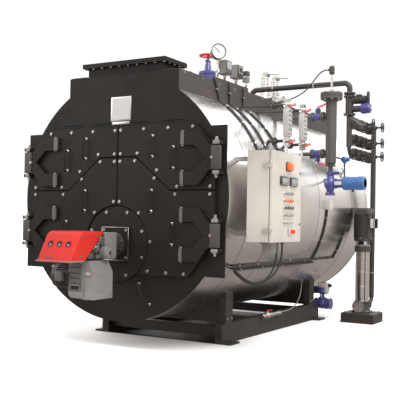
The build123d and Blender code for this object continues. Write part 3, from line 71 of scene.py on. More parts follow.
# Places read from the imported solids, in metres
ROOT = "boiler"
PLATE_LOW, PLATE_HIGH = box_of("front_plate")
DRUM_LOW, DRUM_HIGH = box_of("drum_shell")
FRONT_Y = PLATE_LOW.y
AXIS_Z = (DRUM_LOW.z + DRUM_HIGH.z) / 2
DRUM_RADIUS = (DRUM_HIGH.x - DRUM_LOW.x) / 2
DOOR_FACE_Y = box_of("upper_right_yoke")[1].y
BURNER_Z = sum(corner.z for corner in box_of("burner_throat")) / 2
DECK_HIGH = box_of("walkway_deck")[1]
SKIRT_X = -box_of("deck_skirts")[0].x
MM = 0.001
RIGHT, REAR, UP = Vector((1, 0, 0)), Vector((0, 1, 0)), Vector((0, 0, 1))
LEFT, FRONT, DOWN = Vector((-1, 0, 0)), Vector((0, -1, 0)), Vector((0, 0, -1))
AXES = (RIGHT, REAR, UP)
# Millimetres behind the front plate: where the rear sheets start and the instruments' conduits rise
REAR_SHEETS_MM = 2200
CONDUIT_PLACES = (780, 1000, 1300)
# A row of four bolts stands on the diagonals of its flange
DIAGONAL = 45


def mm(x, y, z):
    """An offset given in millimetres."""
    return Vector((x, y, z)) * MM


def front_point(x_mm, height_mm, y=FRONT_Y):
    """A place on an upright front face, from millimetres about the drum axis."""
    return Vector((x_mm * MM, y, AXIS_Z + height_mm * MM))


def behind(distance_mm):
    """Y of a place that lies this far behind the front plate's face."""
    return FRONT_Y + distance_mm * MM


def on_drum(angle_deg, y, lift=0.0):
    """A place on the drum's outside; the angle is measured up from the right-hand side."""
    angle = radians(angle_deg)
    reach = DRUM_RADIUS + lift
    return Vector((reach * cos(angle), y, AXIS_Z + reach * sin(angle)))


def circle(centre, side, other, radius, count):
    """Points of a circle in the plane of two unit axes."""
    turns = [2 * pi * step / count for step in range(count)]
    return [centre + (side * cos(turn) + other * sin(turn)) * radius for turn in turns]


class Draft:
    """One piece under construction: its points, its faces and the names of their finishes."""

    # Edges that turn by more than this stay sharp
    SHARP_DEG = 34
    SPOKES = 4

    def __init__(self, name):
        self.name = name
        self.points = []
        self.faces = []
        self.paints = []
        self.finishes = []

    def add(self, points, faces, finish):
        """Take in points and faces of one finish."""
        if finish not in self.finishes:
            self.finishes.append(finish)
        start = len(self.points)
        self.points += [tuple(point) for point in points]
        self.faces += [[start + corner for corner in face] for face in faces]
        self.paints += [self.finishes.index(finish)] * len(faces)

    def take(self, bm, finish, bevel=0.0, segments=2):
        """Take in a small mesh, with its edges rounded where bevel is set."""
        if bevel:
            how = {"offset": bevel, "segments": segments, "profile": 0.5, "clamp_overlap": True}
            bmesh.ops.bevel(bm, geom=list(bm.edges), affect="EDGES", **how)
        bm.verts.index_update()
        faces = [[vert.index for vert in face.verts] for face in bm.faces]
        self.add([vert.co for vert in bm.verts], faces, finish)
        bm.free()

    def box(self, low, high, finish, bevel=0.0, segments=2):
        """A block between two corners, with rounded edges where bevel is set."""
        low, high = Vector(low), Vector(high)
        self.block((low + high) / 2, AXES, high - low, finish, bevel, segments)

    def box_at(self, place, low, high, finish, bevel=0.0, segments=2):
        """A block between two corners that are given from a place."""
        self.box(Vector(place) + Vector(low), Vector(place) + Vector(high), finish, bevel, segments)

    def block(self, centre, axes, size, finish, bevel=0.0, segments=2):
        """A block turned to lie along three axes."""
        turn = Matrix([Vector(axis).normalized() for axis in axes]).transposed().to_4x4()
        place = Matrix.Translation(centre) @ turn @ Matrix.Diagonal((*size, 1))
        bm = bmesh.new()
        bmesh.ops.create_cube(bm, size=1, matrix=place)
        self.take(bm, finish, bevel, segments)

    def rows(self, rows, finish, capped=True):
        """Faces over rows of points; a row of one point closes to a tip."""
        points = []
        starts = []
        for row in rows:
            starts.append(len(points))
            points += row
        faces = []
        for (low, low_start), (high, high_start) in zip(zip(rows, starts), zip(rows[1:], starts[1:])):
            count = max(len(low), len(high))
            for step in range(count):
                after = (step + 1) % count
                corners = [low_start + step % len(low), low_start + after % len(low)]
                corners += [high_start + after % len(high), high_start + step % len(high)]
                corners = [corner for place, corner in enumerate(corners) if corner not in corners[:place]]
                faces.append(corners)
        if capped:
            for row, start in ((rows[0], starts[0]), (rows[-1], starts[-1])):
                if len(row) > 2:
                    faces.append([start + step for step in range(len(row))])
        self.add(points, faces, finish)

    def lathe(self, profile_mm, origin, axis, finish, segments=32):
        """A turned body: the profile lists radius and distance along the axis, in millimetres."""
        self.turned(
            [(radius * MM, along * MM) for radius, along in profile_mm], origin, axis, finish, segments
        )

    def turned(self, profile, origin, axis, finish, segments=32, start=None):
        """A turned body with its profile in metres."""
        axis = Vector(axis).normalized()
        side = Vector(start) if start else axis.orthogonal()
        side = (side - axis * side.dot(axis)).normalized()
        other = axis.cross(side)
        rows = []
        for radius, along in profile:
            centre = Vector(origin) + axis * along
            if radius < 1e-7:
                rows.append([centre])
                continue
            rows.append(circle(centre, side, other, radius, segments))
        self.rows(rows, finish)

    def rod(self, start, end, radius, finish, segments=16, bevel=0.0):
        """A round bar with closed, lightly chamfered ends."""
        span = Vector(end) - Vector(start)
        edge = min(bevel, radius * 0.5)
        profile = [(0, 0), (radius - edge, 0), (radius, edge), (radius, span.length - edge)]
        profile += [(radius - edge, span.length), (0, span.length)]
        if not edge:
            profile = [(0, 0), (radius, 0), (radius, span.length), (0, span.length)]
        self.turned(profile, start, span, finish, segments)

    def tube(self, points, radius, finish, sides=10):
        """A round tube through points, with flat ends."""
        points = [Vector(point) for point in points]
        normal = None
        rows = []
        for number, point in enumerate(points):
            before = points[max(number - 1, 0)]
            after = points[min(number + 1, len(points) - 1)]
            along = (after - before).normalized()
            if normal is None:
                normal = along.orthogonal().normalized()
            normal = (normal - along * normal.dot(along)).normalized()
            other = along.cross(normal)
            rows.append(circle(point, normal, other, radius, sides))
        self.rows(rows, finish)

    def ring(self, centre, axis, radius, thickness, finish, segments=40, sides=10):
        """A round ring, such as a handwheel's rim."""
        axis = Vector(axis).normalized()
        side = axis.orthogonal().normalized()
        other = axis.cross(side)
        rows = []
        for step in range(segments + 1):
            turn = 2 * pi * step / segments
            arm = side * cos(turn) + other * sin(turn)
            row = []
            for place in range(sides):
                lean = 2 * pi * place / sides
                reach = radius + thickness * cos(lean)
                row.append(Vector(centre) + arm * reach + axis * thickness * sin(lean))
            rows.append(row)
        self.rows(rows, finish, capped=False)

    def prism(self, outline, origin, across, up, depth, finish):
        """A plate of an outline, drawn on two axes and thickened along their normal."""
        across, up = Vector(across).normalized(), Vector(up).normalized()
        normal = across.cross(up)
        bm = bmesh.new()
        base = [Vector(origin) + across * x + up * z for x, z in outline]
        low = [bm.verts.new(point) for point in base]
        high = [bm.verts.new(point + normal * depth) for point in base]
        bm.faces.new(list(reversed(low)))
        bm.faces.new(high)
        for step in range(len(low)):
            after = (step + 1) % len(low)
            bm.faces.new((low[step], low[after], high[after], high[step]))
        self.take(bm, finish)

    def bolt(self, seat, normal, size, finish, washer=True, turn=0.0):
        """A hexagon bolt head of a thread size, on its washer."""
        normal = Vector(normal).normalized()
        side = normal.orthogonal().normalized()
        side.rotate(Matrix.Rotation(turn, 3, normal))
        across = size * 0.9
        lift = 0.0
        if washer:
            lift = size * 0.16
            self.turned([(size, 0), (size, lift), (0, lift)], seat, normal, finish, 14)
        head = size * 0.62
        top = lift + head
        profile = [(across, lift), (across, lift + head * 0.85), (across * 0.86, top), (0, top)]
        self.turned(profile, seat, normal, finish, 6, start=side)

    def bolt_circle(self, centre, axis, radius, count, size, finish, offset_deg=0.0):
        """Bolt heads on a circle about an axis."""
        axis = Vector(axis).normalized()
        side = axis.orthogonal().normalized()
        for number in range(count):
            arm = side.copy()
            arm.rotate(Matrix.Rotation(radians(offset_deg) + 2 * pi * number / count, 3, axis))
            self.bolt(Vector(centre) + arm * radius, axis, size, finish, turn=number)

    def handwheel(self, centre, axis, radius, rim, finish, hub_finish):
        """A handwheel: a rim, bent spokes and a hub with its nut."""
        axis = Vector(axis).normalized()
        self.ring(centre, axis, radius, rim, finish, 36, 10)
        side = axis.orthogonal().normalized()
        hub = Vector(centre) - axis * rim * 1.6
        self.rod(hub - axis * rim * 1.6, hub + axis * rim * 1.8, rim * 2.2, finish, 16, rim * 0.4)
        self.bolt(hub + axis * rim * 1.8, axis, rim * 1.3, hub_finish)
        for spoke in range(self.SPOKES):
            arm = side.copy()
            arm.rotate(Matrix.Rotation(2 * pi * spoke / self.SPOKES, 3, axis))
            middle = hub + arm * radius * 0.55 + axis * rim * 0.6
            self.tube([hub, middle, Vector(centre) + arm * radius], rim * 0.72, finish, 8)

    def done(self, body, replaces=()):
        """Turn the faces into an object that rides on a body."""
        mesh = bpy.data.meshes.new(self.name)
        mesh.from_pydata(self.points, [], self.faces)
        mesh.polygons.foreach_set("material_index", self.paints)
        bm = bmesh.new()
        bm.from_mesh(mesh)
        bmesh.ops.remove_doubles(bm, verts=bm.verts, dist=1e-6)
        bmesh.ops.recalc_face_normals(bm, faces=bm.faces)
        bm.to_mesh(mesh)
        bm.free()
        for finish in self.finishes:
            mesh.materials.append(MATERIALS[finish])
        mesh.shade_smooth()
        mesh.set_sharp_from_angle(angle=radians(self.SHARP_DEG))
        piece = bpy.data.objects.new(self.name, mesh)
        bpy.context.scene.collection.objects.link(piece)
        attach(piece, body)
        if replaces:
            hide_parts(*replaces)
        return piece


def arc_points(centre, across, up, radius, start_deg, end_deg, steps):
    """Points along an arc in the plane of two axes."""
    points = []
    for step in range(steps + 1):
        turn = radians(start_deg + (end_deg - start_deg) * step / steps)
        arm = Vector(across) * cos(turn) + Vector(up) * sin(turn)
        points.append(Vector(centre) + arm * radius)
    return points


def smooth_route(points, steps=8):
    """Points along a smooth curve through given points."""
    points = [Vector(point) for point in points]
    padded = [points[0] * 2 - points[1]] + points + [points[-1] * 2 - points[-2]]
    route = []
    for a, b, c, d in zip(padded, padded[1:], padded[2:], padded[3:]):
        for step in range(steps):
            t = step / steps
            bend = (2 * a - 5 * b + 4 * c - d) * t**2
            twist = (3 * b - a - 3 * c + d) * t**3
            route.append(0.5 * (2 * b + (c - a) * t + bend + twist))
    route.append(points[-1])
    return route


# Shared surface effects as shader node groups
def new_group(name, inputs, outputs):
    """An empty shader group with its sockets, ready for nodes."""
    tree = bpy.data.node_groups.new(name, "ShaderNodeTree")
    kinds = {"color": "NodeSocketColor", "float": "NodeSocketFloat"}
    for label, kind in inputs:
        tree.interface.new_socket(label, in_out="INPUT", socket_type=kinds[kind])
    for label, kind in outputs:
        tree.interface.new_socket(label, in_out="OUTPUT", socket_type=kinds[kind])
    return tree, tree.nodes.new("NodeGroupInput"), tree.nodes.new("NodeGroupOutput")


def noise_node(tree, coordinates, scale, detail=4.0, roughness=0.55, stretch=(1, 1, 1)):
    """Noise over object coordinates, stretched along chosen axes."""
    mapping = tree.nodes.new("ShaderNodeMapping")
    mapping.inputs["Scale"].default_value = stretch
    tree.links.new(coordinates, mapping.inputs["Vector"])
    noise = tree.nodes.new("ShaderNodeTexNoise")
    noise.inputs["Scale"].default_value = scale
    noise.inputs["Detail"].default_value = detail
    noise.inputs["Roughness"].default_value = roughness
    tree.links.new(mapping.outputs["Vector"], noise.inputs["Vector"])
    return noise.outputs["Fac"]


def remap(tree, value, low, high, start, end):
    """A value range moved smoothly to another range."""
    node = tree.nodes.new("ShaderNodeMapRange")
    node.interpolation_type = "SMOOTHSTEP"
    node.inputs["From Min"].default_value = low
    node.inputs["From Max"].default_value = high
    node.inputs["To Min"].default_value = start
    node.inputs["To Max"].default_value = end
    tree.links.new(value, node.inputs["Value"])
    return node.outputs["Result"]


def math_node(tree, operation, first, second):
    """One arithmetic step between sockets or plain numbers."""
    node = tree.nodes.new("ShaderNodeMath")
    node.operation = operation
    for socket, value in zip(node.inputs, (first, second)):
        if isinstance(value, bpy.types.NodeSocket):
            tree.links.new(value, socket)
        else:
            socket.default_value = value
    return node.outputs["Value"]


def times(tree, first, second):
    """Two values multiplied."""
    return math_node(tree, "MULTIPLY", first, second)


def plus(tree, first, second):
    """Two values added."""
    return math_node(tree, "ADD", first, second)


def mix_colour(tree, factor, first, second):
    """A colour mix between sockets or plain colours."""
    node = tree.nodes.new("ShaderNodeMix")
    node.data_type = "RGBA"
    sockets = (node.inputs["Factor"], node.inputs[6], node.inputs[7])
    for socket, value in zip(sockets, (factor, first, second)):
        if isinstance(value, bpy.types.NodeSocket):
            tree.links.new(value, socket)
        else:
            socket.default_value = value
    return node.outputs[2]


def paint_group():
    """Painted metal: tone drift, settled dust on upward faces and a light orange peel."""
    inputs = [("Paint", "color"), ("Dust", "color"), ("Dust Amount", "float"), ("Gloss", "float")]
    outputs = [("Color", "color"), ("Roughness", "float"), ("Height", "float")]
    tree, given, result = new_group("Worn paint", inputs, outputs)
    place = tree.nodes.new("ShaderNodeTexCoord").outputs["Object"]
    drift = remap(tree, noise_node(tree, place, 1.7), 0.3, 0.7, 0.0, 1.0)
    blotch = remap(tree, noise_node(tree, place, 9.0, 6.0), 0.35, 0.75, 0.0, 1.0)
    facing = tree.nodes.new("ShaderNodeSeparateXYZ")
    tree.links.new(tree.nodes.new("ShaderNodeNewGeometry").outputs["Normal"], facing.inputs["Vector"])
    upward = remap(tree, facing.outputs["Z"], 0.1, 0.9, 0.12, 1.0)
    settled = times(tree, upward, blotch)
    settled = times(tree, settled, given.outputs["Dust Amount"])
    darker = mix_colour(tree, 0.22, given.outputs["Paint"], (0, 0, 0, 1))
    toned = mix_colour(tree, drift, darker, given.outputs["Paint"])
    tree.links.new(mix_colour(tree, settled, toned, given.outputs["Dust"]), result.inputs["Color"])
    haze = times(tree, blotch, 0.12)
    rough = plus(tree, plus(tree, given.outputs["Gloss"], haze), settled)
    tree.links.new(rough, result.inputs["Roughness"])
    tree.links.new(noise_node(tree, place, 160.0, 2.0), result.inputs["Height"])
    return tree


def sheet_group():
    """Bright rolled sheet: slow waviness, fine rolling lines around the drum, dull patches, and painted shade that
    darkens the sheet towards the bottom of the drum and on the front sheets.
    """
    inputs = [("Metal", "color"), ("Soil and Shade", "color"), ("Soil Amount", "float"), ("Gloss", "float")]
    outputs = [("Color", "color"), ("Roughness", "float"), ("Height", "float")]
    tree, given, result = new_group("Rolled sheet", inputs, outputs)
    place = tree.nodes.new("ShaderNodeTexCoord").outputs["Object"]
    wave = noise_node(tree, place, 1.1, 1.0, 0.4, (1.0, 2.2, 1.0))
    lines = noise_node(tree, place, 6.0, 3.0, 0.6, (0.4, 40.0, 0.4))
    patch = remap(tree, noise_node(tree, place, 2.3, 5.0), 0.42, 0.75, 0.0, 1.0)
    split = tree.nodes.new("ShaderNodeSeparateXYZ")
    tree.links.new(place, split.inputs["Vector"])
    # Painted shade: the sheet darkens towards the bottom of the drum
    low = remap(tree, split.outputs["Z"], AXIS_Z - DRUM_RADIUS, AXIS_Z + DRUM_RADIUS * 0.35, 1.0, 0.0)
    # Painted shade: the front sheets, ahead of the rear sheets, are darker than the rear ones
    rear_sheets = math_node(tree, "GREATER_THAN", split.outputs["Y"], behind(REAR_SHEETS_MM))
    cast = times(tree, math_node(tree, "SUBTRACT", 1.0, rear_sheets), 0.7)
    # The dull patches are soil; the low darkening and the front sheets' darkening are painted shade
    soil_and_shade = plus(tree, plus(tree, low, patch), cast)
    soil_and_shade = times(tree, soil_and_shade, given.outputs["Soil Amount"])
    colour = mix_colour(tree, soil_and_shade, given.outputs["Metal"], given.outputs["Soil and Shade"])
    tree.links.new(colour, result.inputs["Color"])
    rough = plus(tree, given.outputs["Gloss"], times(tree, lines, 0.05))
    rough = plus(tree, rough, times(tree, soil_and_shade, 0.15))
    tree.links.new(rough, result.inputs["Roughness"])
    height = plus(tree, wave, times(tree, lines, 0.008))
    tree.links.new(height, result.inputs["Height"])
    return tree


def grain_group():
    """Bare or cast material: a fine grain, stains and uneven sheen."""
    inputs = [("Base", "color"), ("Stain", "color"), ("Stain Amount", "float"), ("Gloss", "float")]
    outputs = [("Color", "color"), ("Roughness", "float"), ("Height", "float")]
    tree, given, result = new_group("Cast grain", inputs, outputs)
    place = tree.nodes.new("ShaderNodeTexCoord").outputs["Object"]
    fine = noise_node(tree, place, 90.0, 5.0, 0.65)
    cloud = remap(tree, noise_node(tree, place, 5.0, 6.0), 0.36, 0.7, 0.0, 1.0)
    stain = times(tree, cloud, given.outputs["Stain Amount"])
    colour = mix_colour(tree, stain, given.outputs["Base"], given.outputs["Stain"])
    tree.links.new(colour, result.inputs["Color"])
    rough = plus(tree, given.outputs["Gloss"], times(tree, fine, 0.16))
    tree.links.new(rough, result.inputs["Roughness"])
    tree.links.new(fine, result.inputs["Height"])
    return tree


GROUPS = {}
MATERIALS = {}


def effect(kind):
    """The shared group of a kind, made once."""
    if kind not in GROUPS:
        GROUPS[kind] = {"paint": paint_group, "sheet": sheet_group, "grain": grain_group}[kind]()
    return GROUPS[kind]


def finish_material(
    name, kind, base, second, amount, gloss, metallic=0.0, coat=0.0, shine=0.5, bump=0.1, depth=0.001
):
    """A material whose colour, roughness and relief come from a shared effect."""
    material = bpy.data.materials.new(name)
    material.use_nodes = True
    tree = material.node_tree
    shader = tree.nodes["Principled BSDF"]
    group = tree.nodes.new("ShaderNodeGroup")
    group.node_tree = effect(kind)
    values = ((*base, 1), (*second, 1), amount, gloss)
    for socket, value in zip(group.inputs, values):
        socket.default_value = value
    tree.links.new(group.outputs["Color"], shader.inputs["Base Color"])
    tree.links.new(group.outputs["Roughness"], shader.inputs["Roughness"])
    relief = tree.nodes.new("ShaderNodeBump")
    relief.inputs["Strength"].default_value = bump
    relief.inputs["Distance"].default_value = depth
    tree.links.new(group.outputs["Height"], relief.inputs["Height"])
    tree.links.new(relief.outputs["Normal"], shader.inputs["Normal"])
    shader.inputs["Metallic"].default_value = metallic
    shader.inputs["Coat Weight"].default_value = coat
    shader.inputs["Specular IOR Level"].default_value = shine
    shader.inputs["Coat Roughness"].default_value = 0.12
    MATERIALS[name] = material
    return material


def plain_material(name, base, roughness, metallic=0.0, glow=0.0, clear=0.0):
    """A small even material, such as a lamp lens, ink or glass."""
    material = bpy.data.materials.new(name)
    material.use_nodes = True
    shader = material.node_tree.nodes["Principled BSDF"]
    shader.inputs["Base Color"].default_value = (*base, 1)
    shader.inputs["Roughness"].default_value = roughness
    shader.inputs["Metallic"].default_value = metallic
    if glow:
        shader.inputs["Emission Color"].default_value = (*base, 1)
        shader.inputs["Emission Strength"].default_value = glow
    if clear:
        shader.inputs["Alpha"].default_value = 1 - clear
    MATERIALS[name] = material
    return material


def make_materials(colours):
    """Every finish of the boiler, from the colours in the panel."""
    dust = (0.22, 0.19, 0.16)
    rust = (0.1, 0.055, 0.03)
    # A dark colour for the cladding's dull patches and for its painted shade low on the drum and on the front
    # sheets
    soil_and_shade = (0.16, 0.13, 0.11)
    finish_material("boiler_black", "paint", colours.front, dust, 0.03, 0.46, shine=0.17)
    finish_material(
        "cladding", "sheet", colours.cladding, soil_and_shade, 0.07, 0.2, metallic=1.0, bump=0.06, depth=0.02
    )
    finish_material("boiler_steel", "grain", (0.11, 0.097, 0.088), rust, 0.3, 0.5, metallic=0.4)
    finish_material(
        "refractory", "grain", (0.62, 0.54, 0.43), (0.25, 0.2, 0.16), 0.5, 0.85, bump=0.5, depth=0.004
    )
    finish_material("burner_grey", "paint", (0.175, 0.16, 0.153), dust, 0.06, 0.42)
    finish_material("burner_dark", "paint", (0.082, 0.072, 0.066), dust, 0.06, 0.46)
    finish_material("burner_red", "paint", colours.hood, (0.3, 0.12, 0.1), 0.03, 0.46, shine=0.16, bump=0.03)
    finish_material("motor_black", "paint", (0.026, 0.022, 0.02), dust, 0.06, 0.44)
    finish_material("deck_paint", "paint", (0.048, 0.039, 0.036), dust, 0.1, 0.52, shine=0.35)
    finish_material("valve_blue", "paint", colours.valves, dust, 0.05, 0.28, coat=0.3)
    finish_material("actuator_blue", "paint", (0.03, 0.092, 0.245), dust, 0.05, 0.34, coat=0.1)
    finish_material("handle_red", "paint", (0.55, 0.022, 0.018), dust, 0.03, 0.3, coat=0.2)
    finish_material("fitting_steel", "grain", (0.6, 0.58, 0.55), (0.3, 0.27, 0.24), 0.3, 0.22, metallic=1.0)
    finish_material("instrument_plastic", "paint", (0.4, 0.38, 0.36), dust, 0.05, 0.42)
    finish_material("pipe_black", "paint", (0.027, 0.023, 0.021), dust, 0.08, 0.42)
    finish_material("pipe_brown", "paint", (0.058, 0.049, 0.043), dust, 0.1, 0.48)
    finish_material("pump_steel", "grain", (0.58, 0.56, 0.54), (0.4, 0.38, 0.36), 0.15, 0.16, metallic=1.0)
    finish_material("cabinet_beige", "paint", colours.cabinet, (0.4, 0.34, 0.27), 0.06, 0.42, bump=0.08)
    finish_material("control_plastic", "paint", (0.035, 0.034, 0.034), dust, 0.03, 0.38)
    finish_material("conduit_black", "paint", (0.022, 0.02, 0.019), dust, 0.08, 0.46)
    finish_material("skid_brown", "paint", (0.027, 0.02, 0.017), dust, 0.08, 0.46, shine=0.35)
    finish_material("zinc", "grain", (0.42, 0.405, 0.385), (0.2, 0.17, 0.14), 0.45, 0.32, metallic=1.0)
    finish_material("rubber", "grain", (0.018, 0.017, 0.016), (0.05, 0.045, 0.04), 0.3, 0.62)
    plain_material("glass", (0.75, 0.82, 0.8), 0.04, clear=0.62)
    plain_material("ink", (0.012, 0.012, 0.014), 0.5)
    plain_material("dial_white", (0.56, 0.55, 0.52), 0.5)
    plain_material("display", (0.2, 0.23, 0.22), 0.18)
    plain_material("lamp_orange", (0.74, 0.1, 0.025), 0.25, glow=0.12)
    plain_material("strip_red", (0.13, 0.01, 0.008), 0.5)
    plain_material("badge_silver", (0.4, 0.39, 0.38), 0.42, metallic=0.6)
    # The red switch knob: a painted glow, though it is no lamp
    plain_material("red_knob_painted_glow", (0.75, 0.03, 0.015), 0.2, glow=0.2)
    plain_material("shadow", (0.006, 0.006, 0.006), 0.8)
    plain_material("brass", (0.42, 0.35, 0.25), 0.35, metallic=1.0)


# Values that can be set in the panel
class BoilerColours(bpy.types.PropertyGroup):
    """Colours of the large painted and bright surfaces."""

    front: FloatVectorProperty(
        name="Front paint", description="Paint of the plate and doors", subtype="COLOR",
        default=(0.0118, 0.0098, 0.0082), min=0, max=1,
    )
    cladding: FloatVectorProperty(
        name="Cladding", description="Bright sheet around the drum", subtype="COLOR",
        default=(0.94, 0.925, 0.91), min=0, max=1,
    )
    hood: FloatVectorProperty(
        name="Burner hood", description="Gloss paint of the hood", subtype="COLOR",
        default=(0.42, 0.02, 0.013), min=0, max=1,
    )
    valves: FloatVectorProperty(
        name="Valves", description="Enamel of the valve bodies", subtype="COLOR",
        default=(0.046, 0.043, 0.18), min=0, max=1,
    )
    cabinet: FloatVectorProperty(
        name="Cabinet", description="Powder coat of the control cabinet", subtype="COLOR",
        default=(0.42, 0.385, 0.34), min=0, max=1,
    )


class BoilerHardware(bpy.types.PropertyGroup):
    """Sizes of the fasteners."""

    door_bolt: FloatProperty(
        name="Door bolts", description="Thread size of the door bolts", default=0.017, unit="LENGTH",
    )
    flange_bolt: FloatProperty(
        name="Flange bolts", description="Thread size of the flange bolts", default=0.014, unit="LENGTH",
    )
    small_screw: FloatProperty(
        name="Small screws", description="Thread size of clip and cover screws",
        default=0.006, unit="LENGTH",
    )


class BoilerStage(bpy.types.PropertyGroup):
    """Floor, light and camera."""

    floor: FloatVectorProperty(
        name="Floor", description="Colour of the studio floor", subtype="COLOR",
        default=(0.94, 0.93, 0.92), min=0, max=1,
    )
    key: FloatProperty(
        name="Key light", description="Power of the main soft light", default=950.0, unit="POWER"
    )
    fill: FloatProperty(name="Fill light", description="Power of the side light", default=90.0, unit="POWER")
    sky: FloatProperty(name="Sky", description="Strength of the even studio light", default=1.05)
    lens: FloatProperty(name="Lens", description="Focal length of the camera", default=65.83, unit="CAMERA")


class BOILER_OT_finishes(bpy.types.Operator):
    """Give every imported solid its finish"""

    bl_idname = "boiler.finishes"
    bl_label = "Finish the solids"

    # Solids with a finish other than their slot's own
    BARE = {"cabinet_brackets": "zinc", "pressure_switches": "burner_grey"}

    def execute(self, context):
        make_materials(context.scene.boiler_colours)
        slots = {part["node"]: part["material_slot"] for part in frame["record"]["subparts"]}
        for name, node in frame["nodes"].items():
            for number in range(len(node.material_slots)):
                node.material_slots[number].material = MATERIALS[self.BARE.get(name, slots[name])]
        return {"FINISHED"}


def door_body(level, side):
    """Name of the body that swings with one front door."""
    return f"{level}_{side}_door_swing"


class BOILER_OT_door_hardware(bpy.types.Operator):
    """Add the bolts of the front doors, yokes and hinge boxes"""

    bl_idname = "boiler.door_hardware"
    bl_label = "Door hardware"

    # Bolt places about the drum axis, in millimetres, for the right-hand doors
    UPPER = (
        (34, 640), (302, 640), (573, 640), (838, 640),
        (36, 414), (231, 414), (456, 252), (681, 97), (1030, 97),
    )
    LOWER = (
        (33, 342), (205, 342), (430, 176), (662, 26), (1030, 26),
        (34, -44), (262, -150), (396, -417), (372, -692), (577, -698), (771, -698),
    )

    # Sizes of the hinges, yokes and grips, in metres
    GRIP_REACH = 0.0975
    BARREL_RADIUS = 0.026
    YOKE_FACE, YOKE_THROAT = 0.011, 0.064
    PIN_INSET, ARM_INSET, PIN_HALF = 0.022, 0.0625, 0.0625
    HINGE_CAP, HINGE_PLATE = 0.148, 0.132

    def execute(self, context):
        sizes = context.scene.boiler_hardware
        for level, places in (("upper", self.UPPER), ("lower", self.LOWER)):
            for side, sign in (("left", -1), ("right", 1)):
                self.door(level, side, sign, places, sizes)
                self.yoke(level, side, sign, sizes)
        self.hinges()
        return {"FINISHED"}

    def door(self, level, side, sign, places, sizes):
        draft = Draft(f"{level}_{side}_door_bolts")
        for number, (x, height) in enumerate(places):
            seat = front_point(sign * x, height, DOOR_FACE_Y)
            draft.bolt(seat, FRONT, sizes.door_bolt, "zinc", turn=0.7 * number)
        self.handle_feet(draft, level, side)
        draft.done(door_body(level, side))

    def handle_feet(self, draft, level, side):
        """Round weld pads where the grips meet the door."""
        for opening in frame["record"]["physics"]["openings"]:
            if not opening["name"].startswith(f"{level}_{side}_handle"):
                continue
            low, high = opening["box_m"]
            middle = (Vector(low) + Vector(high)) / 2
            for end in (-1, 1):
                seat = Vector((middle.x, DOOR_FACE_Y, middle.z + end * self.GRIP_REACH))
                profile = [(19, 0), (17, 4), (10, 8), (0, 9)]
                draft.lathe(profile, seat, FRONT, "zinc", 18)

    def yoke(self, level, side, sign, sizes):
        low, high = box_of(f"{level}_{side}_yoke")
        middle_z = (low.z + high.z) / 2
        near, far = (low.x, high.x) if sign > 0 else (high.x, low.x)
        draft = Draft(f"{level}_{side}_yoke_fittings")
        throat = Vector((far - sign * self.YOKE_THROAT, low.y + self.YOKE_FACE, middle_z))
        draft.bolt(throat, FRONT, sizes.door_bolt, "zinc")
        axis_y = low.y + self.BARREL_RADIUS
        axis = Vector((far - sign * self.BARREL_RADIUS, axis_y, middle_z))
        draft.box(axis - mm(42, 28, 106), axis + mm(42, 22, 106), "deck_paint", 0.004)
        pin_x = near + sign * self.PIN_INSET
        for end in (-1, 1):
            arm_z = middle_z + end * ((high.z - low.z) / 2 - self.ARM_INSET)
            barrel = Vector((pin_x, axis_y, arm_z))
            sleeve = [(23.5, -58), (23.5, 58)]
            draft.lathe(sleeve, barrel, UP, "burner_dark", 24)
            for cap in (-1, 1):
                seat = barrel + Vector((0, 0, cap * self.PIN_HALF))
                draft.lathe([(16, -2), (16, 7), (0, 9)], seat, (0, 0, cap), "zinc", 18)
        draft.done(door_body(level, side))

    def hinges(self):
        draft = Draft("hinge_box_fittings")
        for joint in frame["joints"]:
            if "cabinet" in joint["name"]:
                continue
            place = Vector(joint["pos_m"])
            width = 0.067 if place.x > 0 else 0.048
            for end in (-1, 1):
                seat = place + Vector((0, 0, end * self.HINGE_CAP))
                profile = [(21, 0), (21, 10), (13, 12), (13, 34), (9, 37), (0, 37)]
                draft.lathe(profile, seat, (0, 0, end), "zinc", 20)
                plate_z = place.z + end * self.HINGE_PLATE
                low = Vector((place.x - 0.024, place.y - 0.0295, plate_z - 0.0145))
                draft.box_at(low, (0, 0, 0), (width, 0.0015, 0.029), "burner_grey")
        draft.done(ROOT)


